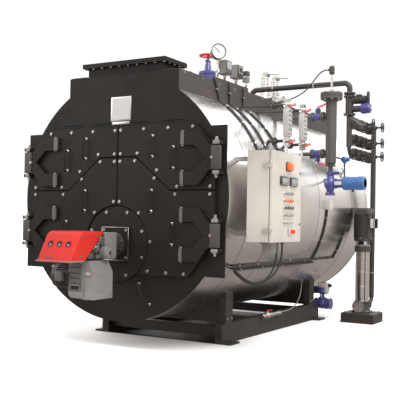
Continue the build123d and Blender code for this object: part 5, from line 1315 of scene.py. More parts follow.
class BOILER_OT_water_column(bpy.types.Operator):
    """Add the column's flange bolts, probe cap, link levers and the blowdown valve's fittings"""

    bl_idname = "boiler.water_column"
    bl_label = "Water column"

    FLANGE_RADIUS = 0.12
    # Heights of its links and small pipe above the drum axis
    LINK_RISES = (0.965, 0.555)
    SMALL_LINE_RISE, SMALL_LINE_DROP = 0.525, 0.24

    def execute(self, context):
        sizes = context.scene.boiler_hardware
        low, high = box_of("water_column")
        probe_low, probe_high = box_of("level_probe")
        actuator_low, actuator_high = box_of("blowdown_actuator")
        self.y = (low.y + high.y) / 2
        self.x = high.x - self.FLANGE_RADIUS
        self.column(high, probe_low, probe_high, sizes)
        self.links(sizes)
        self.blowdown(actuator_low, actuator_high, sizes)
        self.small_line()
        return {"FINISHED"}

    def column(self, high, probe_low, probe_high, sizes):
        black = "motor_black"
        top = Vector((self.x, self.y, high.z))
        draft = Draft("column_fittings")
        draft.bolt_circle(top, UP, 0.097, 8, sizes.flange_bolt * 1.2, "zinc", 22)
        draft.bolt_circle(top - UP * 0.07, -UP, 0.097, 8, sizes.flange_bolt * 1.2, "zinc", 22)
        draft.lathe([(120.5, -37), (121.5, -36), (121.5, -34), (120.5, -33)], top, UP, "shadow", 48)
        for drop in (0.074, 0.8):
            draft.ring(top - UP * drop, UP, 0.0605, 0.005, "pipe_brown", 40, 8)
        head = Vector((self.x, self.y, probe_high.z - 0.09))
        cap = [(22, -8), (29.5, 0), (29.5, 70), (26, 89.5), (0, 89.8)]
        draft.lathe(cap, head, UP, black, 28)
        for lift in (0.012, 0.058):
            draft.ring(head + UP * lift, UP, 0.029, 0.0022, black, 28, 8)
        gland = Vector((probe_low.x, self.y, head.z + 0.045))
        draft.lathe([(14, 4), (14, 20), (10, 22)], gland, RIGHT, black, 6)
        seat = Vector((self.x, self.y, high.z))
        draft.lathe([(34, 0), (34, 24), (28, 28), (20, 46), (13, 52)], seat, UP, "fitting_steel", 6)
        for lift in (0.12, 0.17):
            draft.lathe([(12.5, 0), (17, 1), (17, 11), (12.5, 12)], seat + UP * lift, UP, "fitting_steel", 6)
        draft.done(ROOT)

    def links(self, sizes):
        """Flange bolts of the two links, and the red levers of their valves."""
        draft = Draft("link_fittings")
        valve_x = self.x - 0.155
        for rise, stem in zip(self.LINK_RISES, (1, -1)):
            link_z = AXIS_Z + rise
            for face, way in ((-0.23, -1), (-0.2, 1), (-0.11, -1), (-0.08, 1)):
                seat = (self.x + face, self.y, link_z)
                draft.bolt_circle(seat, (way, 0, 0), 0.043, 4, sizes.flange_bolt * 0.75, "zinc", DIAGONAL)
            tip = Vector((valve_x, self.y, link_z + stem * 0.09))
            out = Vector((0, 0, stem))
            draft.lathe([(33, -30), (33, -18), (26, -14), (20, 4)], tip, out, "valve_blue", 24)
            draft.lathe([(12, 0), (12, 22), (0, 22)], tip, out, "fitting_steel", 12)
            grip = tip + out * 0.018
            route = [
                grip, grip + Vector((0.05, -0.03, stem * 0.006)), grip + Vector((0.12, -0.07, stem * 0.022))
            ]
            draft.tube(smooth_route(route, 5), 0.01, "handle_red", 10)
        draft.done(ROOT)

    def small_line(self):
        """A thin pipe from the column to the drum, with a small blue valve."""
        z = AXIS_Z + self.SMALL_LINE_RISE
        foot = z - self.SMALL_LINE_DROP
        wall = sqrt(DRUM_RADIUS**2 - (foot - AXIS_Z) ** 2)
        start = Vector((self.x, self.y + 0.056, z))
        turn = Vector((self.x, self.y + 0.45, z))
        end = Vector((wall - 0.004, turn.y, foot))
        draft = Draft("small_line")
        draft.rod(start, turn, 0.01, "pipe_brown", 12)
        low_turn = Vector((turn.x, turn.y, foot))
        route = [turn, low_turn + mm(0, 0, 50), low_turn, low_turn - mm(50, 0, 0), end]
        draft.tube(smooth_route(route, 6), 0.01, "pipe_brown", 12)
        draft.lathe([(28, -4), (28, 4), (12, 12)], end, RIGHT, "pipe_brown", 20)
        light = "actuator_blue"
        body = [(20, -58), (24, -54), (24, -36), (36, -26), (36, 26), (24, 36)]
        draft.lathe(body + [(24, 50), (0, 54)], turn, REAR, light, 24)
        draft.lathe([(24, 20), (24, 56), (17, 60), (0, 60)], turn, RIGHT, light, 20)
        draft.lathe([(22, 20), (22, 46), (12, 50)], turn, DOWN, light, 6)
        draft.done(ROOT)

    def blowdown(self, actuator_low, actuator_high, sizes):
        """Bolts, handwheel and drive of the valve under the column."""
        blue = "valve_blue"
        z = (actuator_low.z + actuator_high.z) / 2
        centre = Vector((self.x, self.y, z))
        draft = Draft("blowdown_fittings")
        draft.bolt_circle(centre - UP * 0.105, UP, 0.044, 4, sizes.flange_bolt * 0.7, "zinc", DIAGONAL)
        draft.bolt_circle(centre + UP * 0.1, -UP, 0.044, 4, sizes.flange_bolt * 0.7, "zinc", DIAGONAL)
        belly = [(52, -50), (64, -35), (70, 0), (64, 35), (52, 50)]
        draft.lathe(belly, centre, UP, blue, 32)
        draft.lathe([(50, 55), (56, 58), (56, 74), (50, 78)], centre, RIGHT, blue, 32)
        draft.bolt_circle(centre + RIGHT * 0.074, RIGHT, 0.046, 6, sizes.flange_bolt * 0.55, "zinc")
        for side in (-1, 1):
            start = centre + RIGHT * 0.07 + Vector((0, side * 0.052, 0))
            draft.block(start + RIGHT * 0.04, AXES, (0.09, 0.012, 0.04), "instrument_plastic", 0.003)
        drive = Vector((actuator_low.x, self.y, z))
        length = actuator_high.x - actuator_low.x
        light = "actuator_blue"
        draft.lathe([(71.5, 30), (76, 34), (76, 52), (71.5, 56)], drive, RIGHT, light, 40)
        end_band = [(0.0715, length - 0.07), (0.076, length - 0.066), (0.076, length - 0.05)]
        end_band += [(0.0715, length - 0.046)]
        draft.turned(end_band, drive, RIGHT, light, 40)
        for number in range(8):
            turn = 2 * pi * (number + 0.5) / 8
            arm = Vector((0, cos(turn), sin(turn))) * 0.066
            draft.bolt(drive + arm + RIGHT * (length - 0.006), RIGHT, sizes.small_screw, "zinc")
        cap_top = drive + RIGHT * length
        draft.lathe([(45, -1), (45, 0), (30, 0)], cap_top, RIGHT, "shadow", 28)
        neck = centre + UP * 0.115
        draft.rod(neck, neck + RIGHT * 0.12, 0.016, blue, 16, 0.002)
        draft.handwheel(neck + RIGHT * 0.128, RIGHT, 0.052, 0.0065, "fitting_steel", "zinc")
        gland = drive + RIGHT * (length * 0.45) - mm(0, 0, 71)
        draft.rod(gland, gland - UP * 0.026, 0.011, "motor_black", 12, 0.002)
        draft.done(ROOT)


class BOILER_OT_feed_line(bpy.types.Operator):
    """Add bolts, ribs and a lever to the feed line's valves, and its lagging and welds"""

    bl_idname = "boiler.feed_line"
    bl_label = "Feed line"

    BRANCH_DROPS = (0.55, 0.38, 0.18)
    VALVE_HALF = 0.09
    VALVE_INSET = 0.29
    PIPE_RADIUS = 0.024
    WRAP_RADIUS = 0.033
    BEND = 0.07

    def execute(self, context):
        sizes = context.scene.boiler_hardware
        high = box_of("feed_pipe")[1]
        valves_low, valves_high = box_of("feed_valves")
        self.x = high.x - self.PIPE_RADIUS
        self.down_y = valves_low.y + 0.07
        self.valve_ys = (self.down_y + self.VALVE_INSET, valves_high.y - self.VALVE_HALF)
        self.top_z = high.z - self.PIPE_RADIUS
        self.stop_valves(sizes)
        self.control_valve(sizes)
        self.lagging()
        self.welds()
        return {"FINISHED"}

    def stop_valves(self, sizes):
        """Flange bolts, bonnet and gland of each valve on the branches."""
        black = "pipe_black"
        draft = Draft("stop_valve_fittings")
        for drop in self.BRANCH_DROPS:
            z = AXIS_Z + DRUM_RADIUS - drop
            for y in self.valve_ys:
                centre = Vector((self.x, y, z))
                for way in (-1, 1):
                    along = Vector((0, way, 0))
                    face = centre + along * self.VALVE_HALF
                    draft.bolt_circle(face, along, 0.057, 4, sizes.flange_bolt * 0.8, "zinc", DIAGONAL)
                    draft.lathe([(45, 0), (72, 1), (72, 16), (45, 17)], face, along, black, 28)
                    draft.bolt_circle(
                        face + along * 0.017, along, 0.057, 4, sizes.flange_bolt * 0.8, "zinc", DIAGONAL
                    )
                belly = [(46, -66), (56, -45), (63, 0), (56, 45), (46, 66)]
                draft.lathe(belly, centre, REAR, black, 28)
                draft.lathe([(38, 50), (56, 52), (56, 68), (38, 72)], centre, RIGHT, black, 28)
                draft.bolt_circle(centre + RIGHT * 0.068, RIGHT, 0.046, 6, sizes.flange_bolt * 0.6, "zinc")
                draft.lathe([(30, 90), (22, 120), (22, 134), (12, 140)], centre, RIGHT, black, 24)
                for side in (-1, 1):
                    post = centre + Vector((0.088, side * 0.02, 0))
                    draft.tube([post, post + Vector((0.062, -side * 0.006, 0))], 0.006, black, 8)
        draft.done(ROOT)

    def control_valve(self, sizes):
        """Motor ribs, flange bolts, strainer leg and the lever of the control valve."""
        black, blue = "pipe_black", "valve_blue"
        pipe = Vector((self.x, self.down_y, self.top_z))
        draft = Draft("control_valve_fittings")
        motor = pipe - UP * 0.213
        for number in range(9):
            start = 0.066 + number * 0.0145
            draft.turned(
                [(0.042, start), (0.0485, start), (0.0485, start + 0.005), (0.042, start + 0.005)], motor,
                RIGHT, black, 28
            )
        draft.lathe([(46, 196), (46, 206), (30, 212), (0, 212)], motor, RIGHT, "motor_black", 28)
        draft.box_at(motor, mm(85, -26, 36), mm(150, 26, 64), "motor_black", 0.005)
        for drop, way in ((0.175, -1), (0.121, 1), (0.39, -1)):
            draft.bolt_circle(pipe - UP * drop, UP * way, 0.058, 8, sizes.flange_bolt * 0.7, "zinc")
        valve = pipe - UP * 0.32
        draft.lathe([(58, 170), (64, 174), (64, 192), (58, 196)], valve, RIGHT, blue, 36)
        draft.bolt_circle(valve + RIGHT * 0.192, RIGHT, 0.054, 6, sizes.flange_bolt * 0.6, "zinc")
        draft.bolt_circle(valve + RIGHT * 0.15, RIGHT, 0.036, 6, sizes.flange_bolt * 0.5, "zinc")
        lever = valve + mm(229, 0, 190)
        draft.rod(lever - UP * 0.03, lever + UP * 0.01, 0.016, black, 18, 0.005)
        draft.box_at(valve, mm(214, -23, 60), mm(244, 23, 176), black, 0.005)
        draft.rod(valve + mm(210, 0, 0), valve + mm(268, 0, 0), 0.02, "fitting_steel", 20, 0.004)
        seat = pipe - UP * 0.425
        lean = mm(800, 0, -600)
        draft.lathe([(44, 0), (44, 100), (38, 125), (38, 190)], seat, lean, black, 24)
        draft.lathe([(56, 190), (56, 212), (30, 216), (0, 216)], seat, lean, black, 24)
        draft.bolt_circle(seat + lean * 0.212, lean, 0.046, 4, sizes.flange_bolt * 0.6, "zinc", DIAGONAL)
        draft.done(ROOT)

    def lagging(self):
        """A thin black wrap that thickens the uprights and the top run, with its bands."""
        low, high = box_of("feed_pipe")
        black = "pipe_black"
        riser_y = self.valve_ys[1] + self.VALVE_INSET
        foot_z = low.z + self.PIPE_RADIUS + self.BEND
        branch_low = AXIS_Z + DRUM_RADIUS - self.BRANCH_DROPS[0] + self.BEND
        top, x, y = self.top_z, self.x, self.down_y
        first = arc_points((self.BEND, y, top - self.BEND), -RIGHT, UP, self.BEND, 0, 90, 8)
        second = arc_points((x - self.BEND, y, top - self.BEND), RIGHT, UP, self.BEND, 90, 0, 8)
        draft = Draft("pipe_wrap")
        route = [(0, y, DECK_HIGH.z + 0.02), *first, *second, (x, y, branch_low)]
        draft.tube(route, self.WRAP_RADIUS, black, 24)
        draft.tube([(x, riser_y, foot_z), (x, riser_y, high.z - 0.47)], self.WRAP_RADIUS, black, 24)
        bands = [((along, y, top), RIGHT) for along in (0.3, 0.85)]
        bands += [((x, riser_y, z), UP) for z in (0.6, 1.25)]
        for place, way in bands:
            band = [(self.WRAP_RADIUS, -0.008), (self.WRAP_RADIUS + 0.0015, -0.008)]
            band += [(radius, -along) for radius, along in reversed(band)]
            draft.turned(band, place, way, "zinc", 24)
        draft.done(ROOT)

    def welds(self):
        """Weld beads where the feed line's branches meet its uprights."""
        riser_y = self.valve_ys[1] + self.VALVE_INSET
        draft = Draft("feed_welds")
        radius = self.PIPE_RADIUS
        for drop in self.BRANCH_DROPS:
            z = AXIS_Z + DRUM_RADIUS - drop
            for y, way in ((self.down_y, 1), (riser_y, -1)):
                centre = Vector((self.x, y + way * (radius + 0.012), z))
                draft.ring(centre, REAR, radius + 0.0005, 0.0035, "pipe_black", 32, 8)
        foot = Vector((0, self.down_y, DECK_HIGH.z))
        draft.turned([(0.085, 0.0), (0.085, 0.02), (radius + 0.004, 0.026)], foot, UP, "pipe_black", 36)
        draft.bolt_circle(foot + mm(0, 0, 20), UP, 0.068, 6, 0.012, "zinc")
        draft.done(ROOT)


class BOILER_OT_feed_pump(bpy.types.Operator):
    """Add stay bolts, ribs, cowl and terminal box to the feed pump"""

    bl_idname = "boiler.feed_pump"
    bl_label = "Feed pump"

    # Heights above the floor
    HEAD_Z, LANTERN_Z = 0.88, 0.99
    STAY_LOW, STAY_HIGH, STAY_NUT = 0.245, 0.895, 0.954
    SLEEVE_BEADS = (0.262, 0.44, 0.62, 0.8)

    def execute(self, context):
        sizes = context.scene.boiler_hardware
        low, high = box_of("pump_motor")
        plinth_low, plinth_high = box_of("pump_plinth")
        self.x = (plinth_low.x + plinth_high.x) / 2
        self.y = (plinth_low.y + plinth_high.y) / 2
        self.body(plinth_high.z, low.z, sizes)
        self.motor(low, high, sizes)
        self.plinth(plinth_low, plinth_high, sizes)
        return {"FINISHED"}

    def at(self, z):
        return Vector((self.x, self.y, z))

    def body(self, foot_z, lantern_top, sizes):
        """Black castings at both ends of the polished sleeve, tied by four stay bolts."""
        black = "pipe_black"
        draft = Draft("pump_castings")
        profile = [(130.5, 2), (131, 18), (100, 30), (96.5, 36), (96.5, 110)]
        profile += [(104, 116), (104, 136), (78, 140)]
        draft.lathe(profile, self.at(foot_z), UP, black, 48)
        draft.lathe([(76.5, 0), (101.5, 6), (101.5, 70), (72, 74)], self.at(self.HEAD_Z), UP, black, 48)
        for number in range(4):
            turn = pi / 4 + number * pi / 2
            arm = Vector((cos(turn), sin(turn), 0)) * 0.0885
            low, high = self.at(self.STAY_LOW) + arm, self.at(self.STAY_HIGH) + arm
            draft.rod(low, high, 0.008, "fitting_steel", 12)
            draft.bolt(self.at(self.STAY_NUT) + arm, UP, 0.016, "zinc")
            foot = Vector((cos(turn), sin(turn), 0)) * 0.117
            draft.bolt(self.at(foot_z + 0.019) + foot, UP, 0.013, "zinc")
        for z in self.SLEEVE_BEADS:
            draft.lathe([(75, 0), (76.5, 2), (76.5, 8), (75, 10)], self.at(z), UP, "pump_steel", 48)
        for number in range(4):
            turn = number * pi / 2
            arm = Vector((cos(turn), sin(turn), 0))
            side = Vector((-arm.y, arm.x, 0))
            window = self.at(self.LANTERN_Z) + arm * 0.0695
            draft.block(window, (arm, side, UP), (0.004, 0.06, 0.046), "shadow", 0.0015)
            for edge in (-1, 1):
                post = self.at(self.LANTERN_Z) + arm * 0.069 + side * edge * 0.036
                draft.block(post, (arm, side, UP), (0.014, 0.01, 0.07), "pump_steel", 0.003)
        draft.lathe([(71, -4), (108, -2), (108, -14), (71, -16)], self.at(lantern_top), UP, black, 40)
        pump_low, pump_high = box_of("pump_body")
        nozzle_z = box_of("feed_pipe")[0].z + 0.024
        for face, way in ((pump_low.y, -1), (pump_high.y, 1)):
            along = Vector((0, way, 0))
            centre = Vector((self.x, face, nozzle_z))
            draft.lathe([(76, -19), (76.5, -10), (76, -1)], centre, along, black, 36)
            draft.bolt_circle(
                centre - along * 0.018, -along, 0.055, 4, sizes.flange_bolt * 0.8, "zinc", DIAGONAL
            )
        draft.done(ROOT)

    def motor(self, low, high, sizes):
        black, brown = "motor_black", "pipe_brown"
        draft = Draft("pump_motor_fittings")
        bottom, cowl = low.z + 0.03, high.z - 0.07
        for number in range(36):
            turn = 2 * pi * number / 36
            arm = Vector((cos(turn), sin(turn), 0))
            if arm.x > 0.8:
                continue
            side = Vector((-arm.y, arm.x, 0))
            centre = self.at((bottom + cowl) / 2 - 0.004) + arm * 0.108
            draft.block(centre, (arm, side, UP), (0.014, 0.004, cowl - bottom - 0.02), black)
        draft.box(
            (self.x - 0.108, self.y - 0.108, cowl - 0.004), (self.x + 0.108, self.y + 0.108, high.z - 0.006),
            brown, 0.01, 3
        )
        for row in range(5):
            offset = -0.06 + row * 0.03
            draft.box_at((self.x, self.y + offset, high.z), mm(-75, -6, -7), mm(75, 6, -5), "shadow")
        for side in (-1, 1):
            for row in range(3):
                z = cowl + 0.014 + row * 0.014
                draft.box_at((self.x, self.y + side * 0.1078, z), mm(-70, -1, 0), mm(70, 1, 6), "shadow")
        light = "instrument_plastic"
        box_low, box_high = low.z + 0.15, low.z + 0.27
        draft.box(
            (high.x - 0.06, self.y - 0.0605, box_low - 0.0005),
            (high.x - 0.016, self.y + 0.0605, box_high + 0.0005), light, 0.004
        )
        draft.box(
            (high.x - 0.014, self.y - 0.0605, box_low - 0.0005),
            (high.x, self.y + 0.0605, box_high + 0.0005), light, 0.005
        )
        for corner_y in (-0.05, 0.05):
            for corner_z in (box_low + 0.012, box_high - 0.012):
                seat = (high.x, self.y + corner_y, corner_z)
                draft.lathe([(5, -2), (5, -0.6), (0, -0.2)], seat, RIGHT, "zinc", 12)
        gland = Vector((high.x - 0.04, self.y + 0.02, box_low))
        draft.rod(gland, gland - UP * 0.028, 0.013, black, 12, 0.002)
        draft.bolt_circle(self.at(low.z + 0.018), UP, 0.104, 4, sizes.flange_bolt, "zinc", DIAGONAL)
        draft.lathe([(12, -4), (12, 4), (0, 5)], self.at(high.z - 0.006), UP, "zinc", 12)
        draft.done(ROOT)

    def plinth(self, low, high, sizes):
        draft = Draft("plinth_bolts")
        for x in (low.x + 0.038, high.x - 0.038):
            for y in (low.y + 0.038, high.y - 0.038):
                draft.bolt((x, y, high.z), UP, sizes.flange_bolt, "zinc")
        draft.done(ROOT)


class BOILER_OT_cabinet(bpy.types.Operator):
    """Add the cabinet's controls, locks, seal, mounting plate and glands"""

    bl_idname = "boiler.cabinet"
    bl_label = "Control cabinet"

    DOOR = "cabinet_door_swing"
    LAMP_DROP = 0.129
    DISPLAY_DROP = 0.265
    BUTTON_DROP = 0.375
    BUTTON_PITCH = (0.055, 0.066)
    SWITCH_RISE = 0.096

    def execute(self, context):
        sizes = context.scene.boiler_hardware
        self.low, self.high = box_of("control_cabinet")
        door_low, door_high = box_of("cabinet_door")
        self.face = door_high.x
        self.top = self.high.z
        self.bottom = door_low.z
        self.mid_y = (self.low.y + self.high.y) / 2 + 0.02
        self.controls()
        self.door_trim()
        self.inside(sizes)
        self.outside(sizes)
        return {"FINISHED"}

    def controls(self):
        """Coloured lenses, screens and caps on the solids of the door's controls."""
        black = "control_plastic"
        face, y = self.face, self.mid_y
        draft = Draft("control_faces")
        z = self.top - self.LAMP_DROP
        draft.box_at((face, y, z), mm(6, -51, -34), mm(34, 51, 34), "lamp_orange", 0.006, 3)
        draft.box_at((face, y, z), mm(0, -58, -41), mm(8, 58, 41), black, 0.002)
        z = self.top - self.DISPLAY_DROP
        for place in (y - 0.106, y + 0.106):
            draft.box_at((face, place, z), mm(4, -78, -41), mm(17.5, 78, 41), black, 0.004)
            draft.box_at((face, place, z), mm(17, -60, -16), mm(18.5, 60, 28), "display")
            for key in range(4):
                key_y = place - 0.045 + key * 0.03
                draft.box_at(
                    (face, key_y, z), mm(17, -9, -33), mm(19.5, 9, -22), "instrument_plastic", 0.001
                )
        rows = ("display", "lamp_orange", "control_plastic", "display", "instrument_plastic")
        for row, colour in enumerate(rows):
            for column in range(4):
                button_y = y + (column - 1.5) * self.BUTTON_PITCH[0]
                button_z = self.top - self.BUTTON_DROP - row * self.BUTTON_PITCH[1]
                seat = Vector((face, button_y, button_z))
                bezel = [(15.5, 0), (15.5, 4), (13.2, 7), (13.2, 15.5)]
                draft.lathe(bezel, seat, RIGHT, "fitting_steel", 24)
                draft.lathe([(13.2, 15), (13.2, 20), (11, 22.5), (0, 23)], seat, RIGHT, colour, 24)
                plate = seat + mm(0.6, 0, 23.5)
                draft.block(plate, AXES, (0.0014, 0.03, 0.007), "instrument_plastic")
        z = self.bottom + self.SWITCH_RISE
        knob = Vector((face, y + 0.053, z))
        draft.box_at(knob, mm(1, -46, -27), mm(16.5, 46, 27), "instrument_plastic", 0.003)
        # Red switch knob with a painted glow
        draft.lathe([(19.5, 16), (19.5, 40), (17, 48.5), (0, 48.8)], knob, RIGHT, "red_knob_painted_glow", 28)
        draft.box_at(knob, mm(40, -6, -18), mm(53.5, 6, 18), "red_knob_painted_glow", 0.002)
        draft.done(self.DOOR)

    def door_trim(self):
        """Two quarter-turn locks, and a rubber seal behind the door."""
        low, high = box_of("cabinet_door")
        draft = Draft("cabinet_door_trim")
        lock_y = high.y - 0.032
        for z in (low.z + 0.17, high.z - 0.17):
            seat = Vector((high.x, lock_y, z))
            draft.lathe([(16, 0), (16, 4), (13, 6), (0, 6)], seat, RIGHT, "fitting_steel", 24)
            draft.box_at(seat, mm(5.5, -3, -8), mm(6.6, 3, 8), "shadow")
        inner = 0.022
        back = low.x
        for y in (self.low.y + inner, high.y - inner):
            draft.box((back - 0.003, y - 0.006, low.z + inner), (back, y + 0.006, high.z - inner), "rubber")
        for z in (low.z + inner, high.z - inner):
            draft.box(
                (back - 0.003, self.low.y + inner, z - 0.006), (back, high.y - inner, z + 0.006), "rubber"
            )
        draft.done(self.DOOR)

    def inside(self, sizes):
        """The zinc mounting plate on the cabinet's back wall, on four spacers."""
        draft = Draft("mounting_plate")
        back = self.low.x + 0.004
        low = Vector((back + 0.008, self.low.y + 0.045, self.bottom + 0.045))
        high = Vector((back + 0.011, self.high.y - 0.045, self.top - 0.045))
        draft.box(low, high, "zinc")
        for y in (low.y + 0.02, high.y - 0.02):
            for z in (low.z + 0.02, high.z - 0.02):
                draft.rod((back - 0.002, y, z), (back + 0.009, y, z), 0.007, "zinc", 12)
                draft.bolt((high.x, y, z), RIGHT, sizes.small_screw * 1.3, "zinc")
        draft.done(ROOT)

    def outside(self, sizes):
        """Nuts on the glands, blind plugs beside them and bolts at the brackets."""
        black = "motor_black"
        draft = Draft("cabinet_outside")
        gland_x = self.low.x + 0.11
        for setback in (0.418, 0.538):
            seat = Vector((gland_x, self.low.y + setback, self.bottom))
            draft.lathe([(20, 0), (20, 10), (14.5, 12)], seat, DOWN, black, 6)
            draft.lathe([(17.5, 15), (17.5, 26), (12, 29.8)], seat, DOWN, black, 12)
        trunk_low = Vector((gland_x - 0.05, self.low.y + 0.195, self.bottom - 0.105))
        draft.box_at(trunk_low, mm(0, 0, 0), mm(100, 110, 105), "burner_grey", 0.004)
        for setback in (0.08, 0.15):
            seat = Vector((gland_x, self.low.y + setback, self.bottom))
            draft.lathe([(17, 0), (17, 9), (12, 12), (0, 13)], seat, DOWN, black, 6)
        for y in (self.low.y + 0.07, self.high.y - 0.07):
            for z in (self.bottom + 0.07, self.top - 0.07):
                plate_low = Vector((self.low.x - 0.004, y - 0.034, z - 0.034))
                draft.box_at(plate_low, mm(0, 0, 0), mm(4, 68, 68), "boiler_black", 0.001)
                for corner in (-0.026, 0.026):
                    draft.bolt(
                        (self.low.x - 0.004, y + corner, z + corner), LEFT, sizes.small_screw * 1.2, "zinc"
                    )
        rain_low = Vector((self.low.x, self.low.y, self.top - 0.0005))
        draft.box(rain_low, (self.low.x + 0.01, self.high.y, self.top + 0.006), "cabinet_beige", 0.001)
        draft.done(ROOT)


class BOILER_OT_base(bpy.types.Operator):
    """Add the skids' details, a thin dark sheet that paints the shade on the floor under the drum, the bottom
    valve's fittings and the drain line
    """

    bl_idname = "boiler.base"
    bl_label = "Base"

    # Bottom valve's flange faces and middle, across the boiler
    VALVE_FACES, VALVE_X = (0.69, 0.84), 0.765
    # Drain line, in millimetres behind the front plate, and its height
    DRAIN_START, DRAIN_END = 1560, 2660
    DRAIN_Z, DRAIN_SEAT_Z = 0.205, 0.528

    def execute(self, context):
        sizes = context.scene.boiler_hardware
        self.skids(sizes)
        self.paint_floor_shade()
        self.bottom_valve(sizes)
        self.drain_line()
        return {"FINISHED"}

    def skids(self, sizes):
        """End plates with their lifting slots, and the saddles' bolts."""
        low, high = box_of("skid_frame")
        saddle_low, saddle_high = box_of("saddles")
        brown = "skid_brown"
        outer, inner = saddle_high.x, saddle_high.x - 0.084
        middle_x, top = (outer + inner) / 2, saddle_low.z
        draft = Draft("skid_fittings")
        for side in (-1, 1):
            centre = Vector((side * middle_x, 0, top / 2))
            for y, way in ((low.y, 1), (high.y, -1)):
                seat = Vector((centre.x, y, centre.z))
                plate = Vector((0.04, 0.004, top / 2 - 0.002))
                middle = seat + Vector((0, way * 0.0045, 0))
                draft.box(middle - plate, middle + plate, brown, 0.001)
                ends = arc_points((0, 0, 0.022), RIGHT, UP, 0.018, 0, 180, 10)
                ends += arc_points((0, 0, -0.022), RIGHT, UP, 0.018, 180, 360, 10)
                slot = [(point.x, point.z) for point in ends]
                face = seat - Vector((0, way * 0.0006, 0))
                draft.prism(slot, face, RIGHT, UP, 0.0012, "shadow")
            for y in (saddle_low.y + 0.03, saddle_low.y + 0.12, saddle_high.y - 0.12, saddle_high.y - 0.03):
                seat = Vector((side * outer, y, top + 0.045))
                draft.bolt(seat, (side, 0, 0), sizes.flange_bolt, "zinc")
        draft.done(ROOT)

    def paint_floor_shade(self):
        """A thin dark sheet on the floor between the skids: painted shade under the drum."""
        low, high = box_of("skid_frame")
        reach = box_of("saddles")[1].x - 0.085
        draft = Draft("painted_floor_shade")
        # A dark sheet that paints the shade under the drum
        draft.box((-reach, low.y + 0.003, 0.0006), (reach, high.y - 0.003, 0.004), "boiler_black")
        draft.done(ROOT)

    def bottom_valve(self, sizes):
        """Bolts, bonnet and drive of the valve behind the right skid."""
        low, high = box_of("bottom_blowdown")
        blue, steel = "valve_blue", "fitting_steel"
        y = (low.y + high.y) / 2
        z = low.z + 0.072
        draft = Draft("bottom_valve_fittings")
        for x in self.VALVE_FACES:
            draft.bolt_circle((x, y, z), RIGHT, 0.056, 4, sizes.flange_bolt * 0.8, "zinc", DIAGONAL)
            draft.bolt_circle((x - 0.018, y, z), -RIGHT, 0.056, 4, sizes.flange_bolt * 0.8, "zinc", DIAGONAL)
        middle = Vector((self.VALVE_X, y, z))
        draft.lathe([(52, -60), (64, -35), (70, 0), (64, 35), (52, 60)], middle, RIGHT, blue, 32)
        draft.lathe([(30, 52), (50, 58), (50, 78), (30, 82)], middle, UP, blue, 28)
        draft.bolt_circle(middle + UP * 0.078, UP, 0.041, 6, sizes.flange_bolt * 0.55, "zinc")
        for side in (-1, 1):
            post = middle + Vector((0, side * 0.038, 0.078))
            draft.rod(post, post + UP * 0.064, 0.007, steel, 10)
        drive = middle + UP * 0.138
        black = "motor_black"
        draft.box_at(drive, mm(-40, -52, 0), mm(85, 52, 132), "cabinet_beige", 0.014, 3)
        draft.box_at(drive, mm(-112, -46, -10), mm(-36, 46, 80), black, 0.01, 3)
        draft.box_at(drive, mm(-30, -56, -12), mm(70, 56, 4), black, 0.004)
        draft.rod(drive + mm(80, 0, 96), drive + mm(125, 0, 96), 0.024, black, 20, 0.004)
        draft.rod(drive + mm(20, 0, 128), drive + mm(20, 0, 140), 0.026, black, 24, 0.003)
        spout = middle + mm(86, 0, 30)
        draft.lathe([(16, 0), (16, 20), (10, 22), (10, 60)], spout, (0.6, 0, 0.8), steel, 16)
        draft.done(ROOT)

    def drain_line(self):
        """A small bright valve clamped to the right skid, with a thin pipe to the drum's underside."""
        steel = "fitting_steel"
        web = box_of("saddles")[1].x + 0.02
        draft = Draft("drain_line")
        start, end = behind(self.DRAIN_START), behind(self.DRAIN_END)
        z = self.DRAIN_Z
        x = web + 0.03
        for y in (start + 0.02, start + 0.22, start + 0.42):
            draft.lathe([(20, -16), (30, -12), (30, 12), (20, 16)], (x, y, z), REAR, steel, 6)
        draft.rod((x, start, z), (x, start + 0.46, z), 0.02, steel, 20, 0.003)
        draft.lathe([(26, -50), (36, -30), (36, 30), (26, 50)], (x, start + 0.12, z), REAR, steel, 24)
        draft.rod((x, start + 0.12, z), (x, start + 0.12, z + 0.052), 0.01, steel, 12)
        lever = Vector((x, start + 0.12, z + 0.05))
        draft.box_at(lever, mm(-9, -12, -4), mm(9, 110, 4), "handle_red", 0.003)
        for y in (start + 0.07, start + 0.33):
            draft.box((web - 0.024, y - 0.014, z - 0.026), (x, y + 0.014, z - 0.016), "zinc", 0.002)
        seat_z = self.DRAIN_SEAT_Z
        drum_x = sqrt(DRUM_RADIUS**2 - (AXIS_Z - seat_z) ** 2)
        route = [(x, start + 0.46, z), (x, end - 0.3, z + 0.02), (x - 0.01, end - 0.1, z + 0.1)]
        route += [(x - 0.02, end, z + 0.22), (drum_x + 0.01, end + 0.02, seat_z)]
        draft.tube(smooth_route(route, 8), 0.007, "burner_grey", 12)
        seat = on_drum(degrees(asin((seat_z - AXIS_Z) / DRUM_RADIUS)), end + 0.02)
        inward = (Vector((0, end + 0.02, AXIS_Z)) - seat).normalized()
        draft.lathe([(30, 4), (30, -10), (16, -14), (16, -30)], seat, inward, "burner_dark", 20)
        draft.done(ROOT)


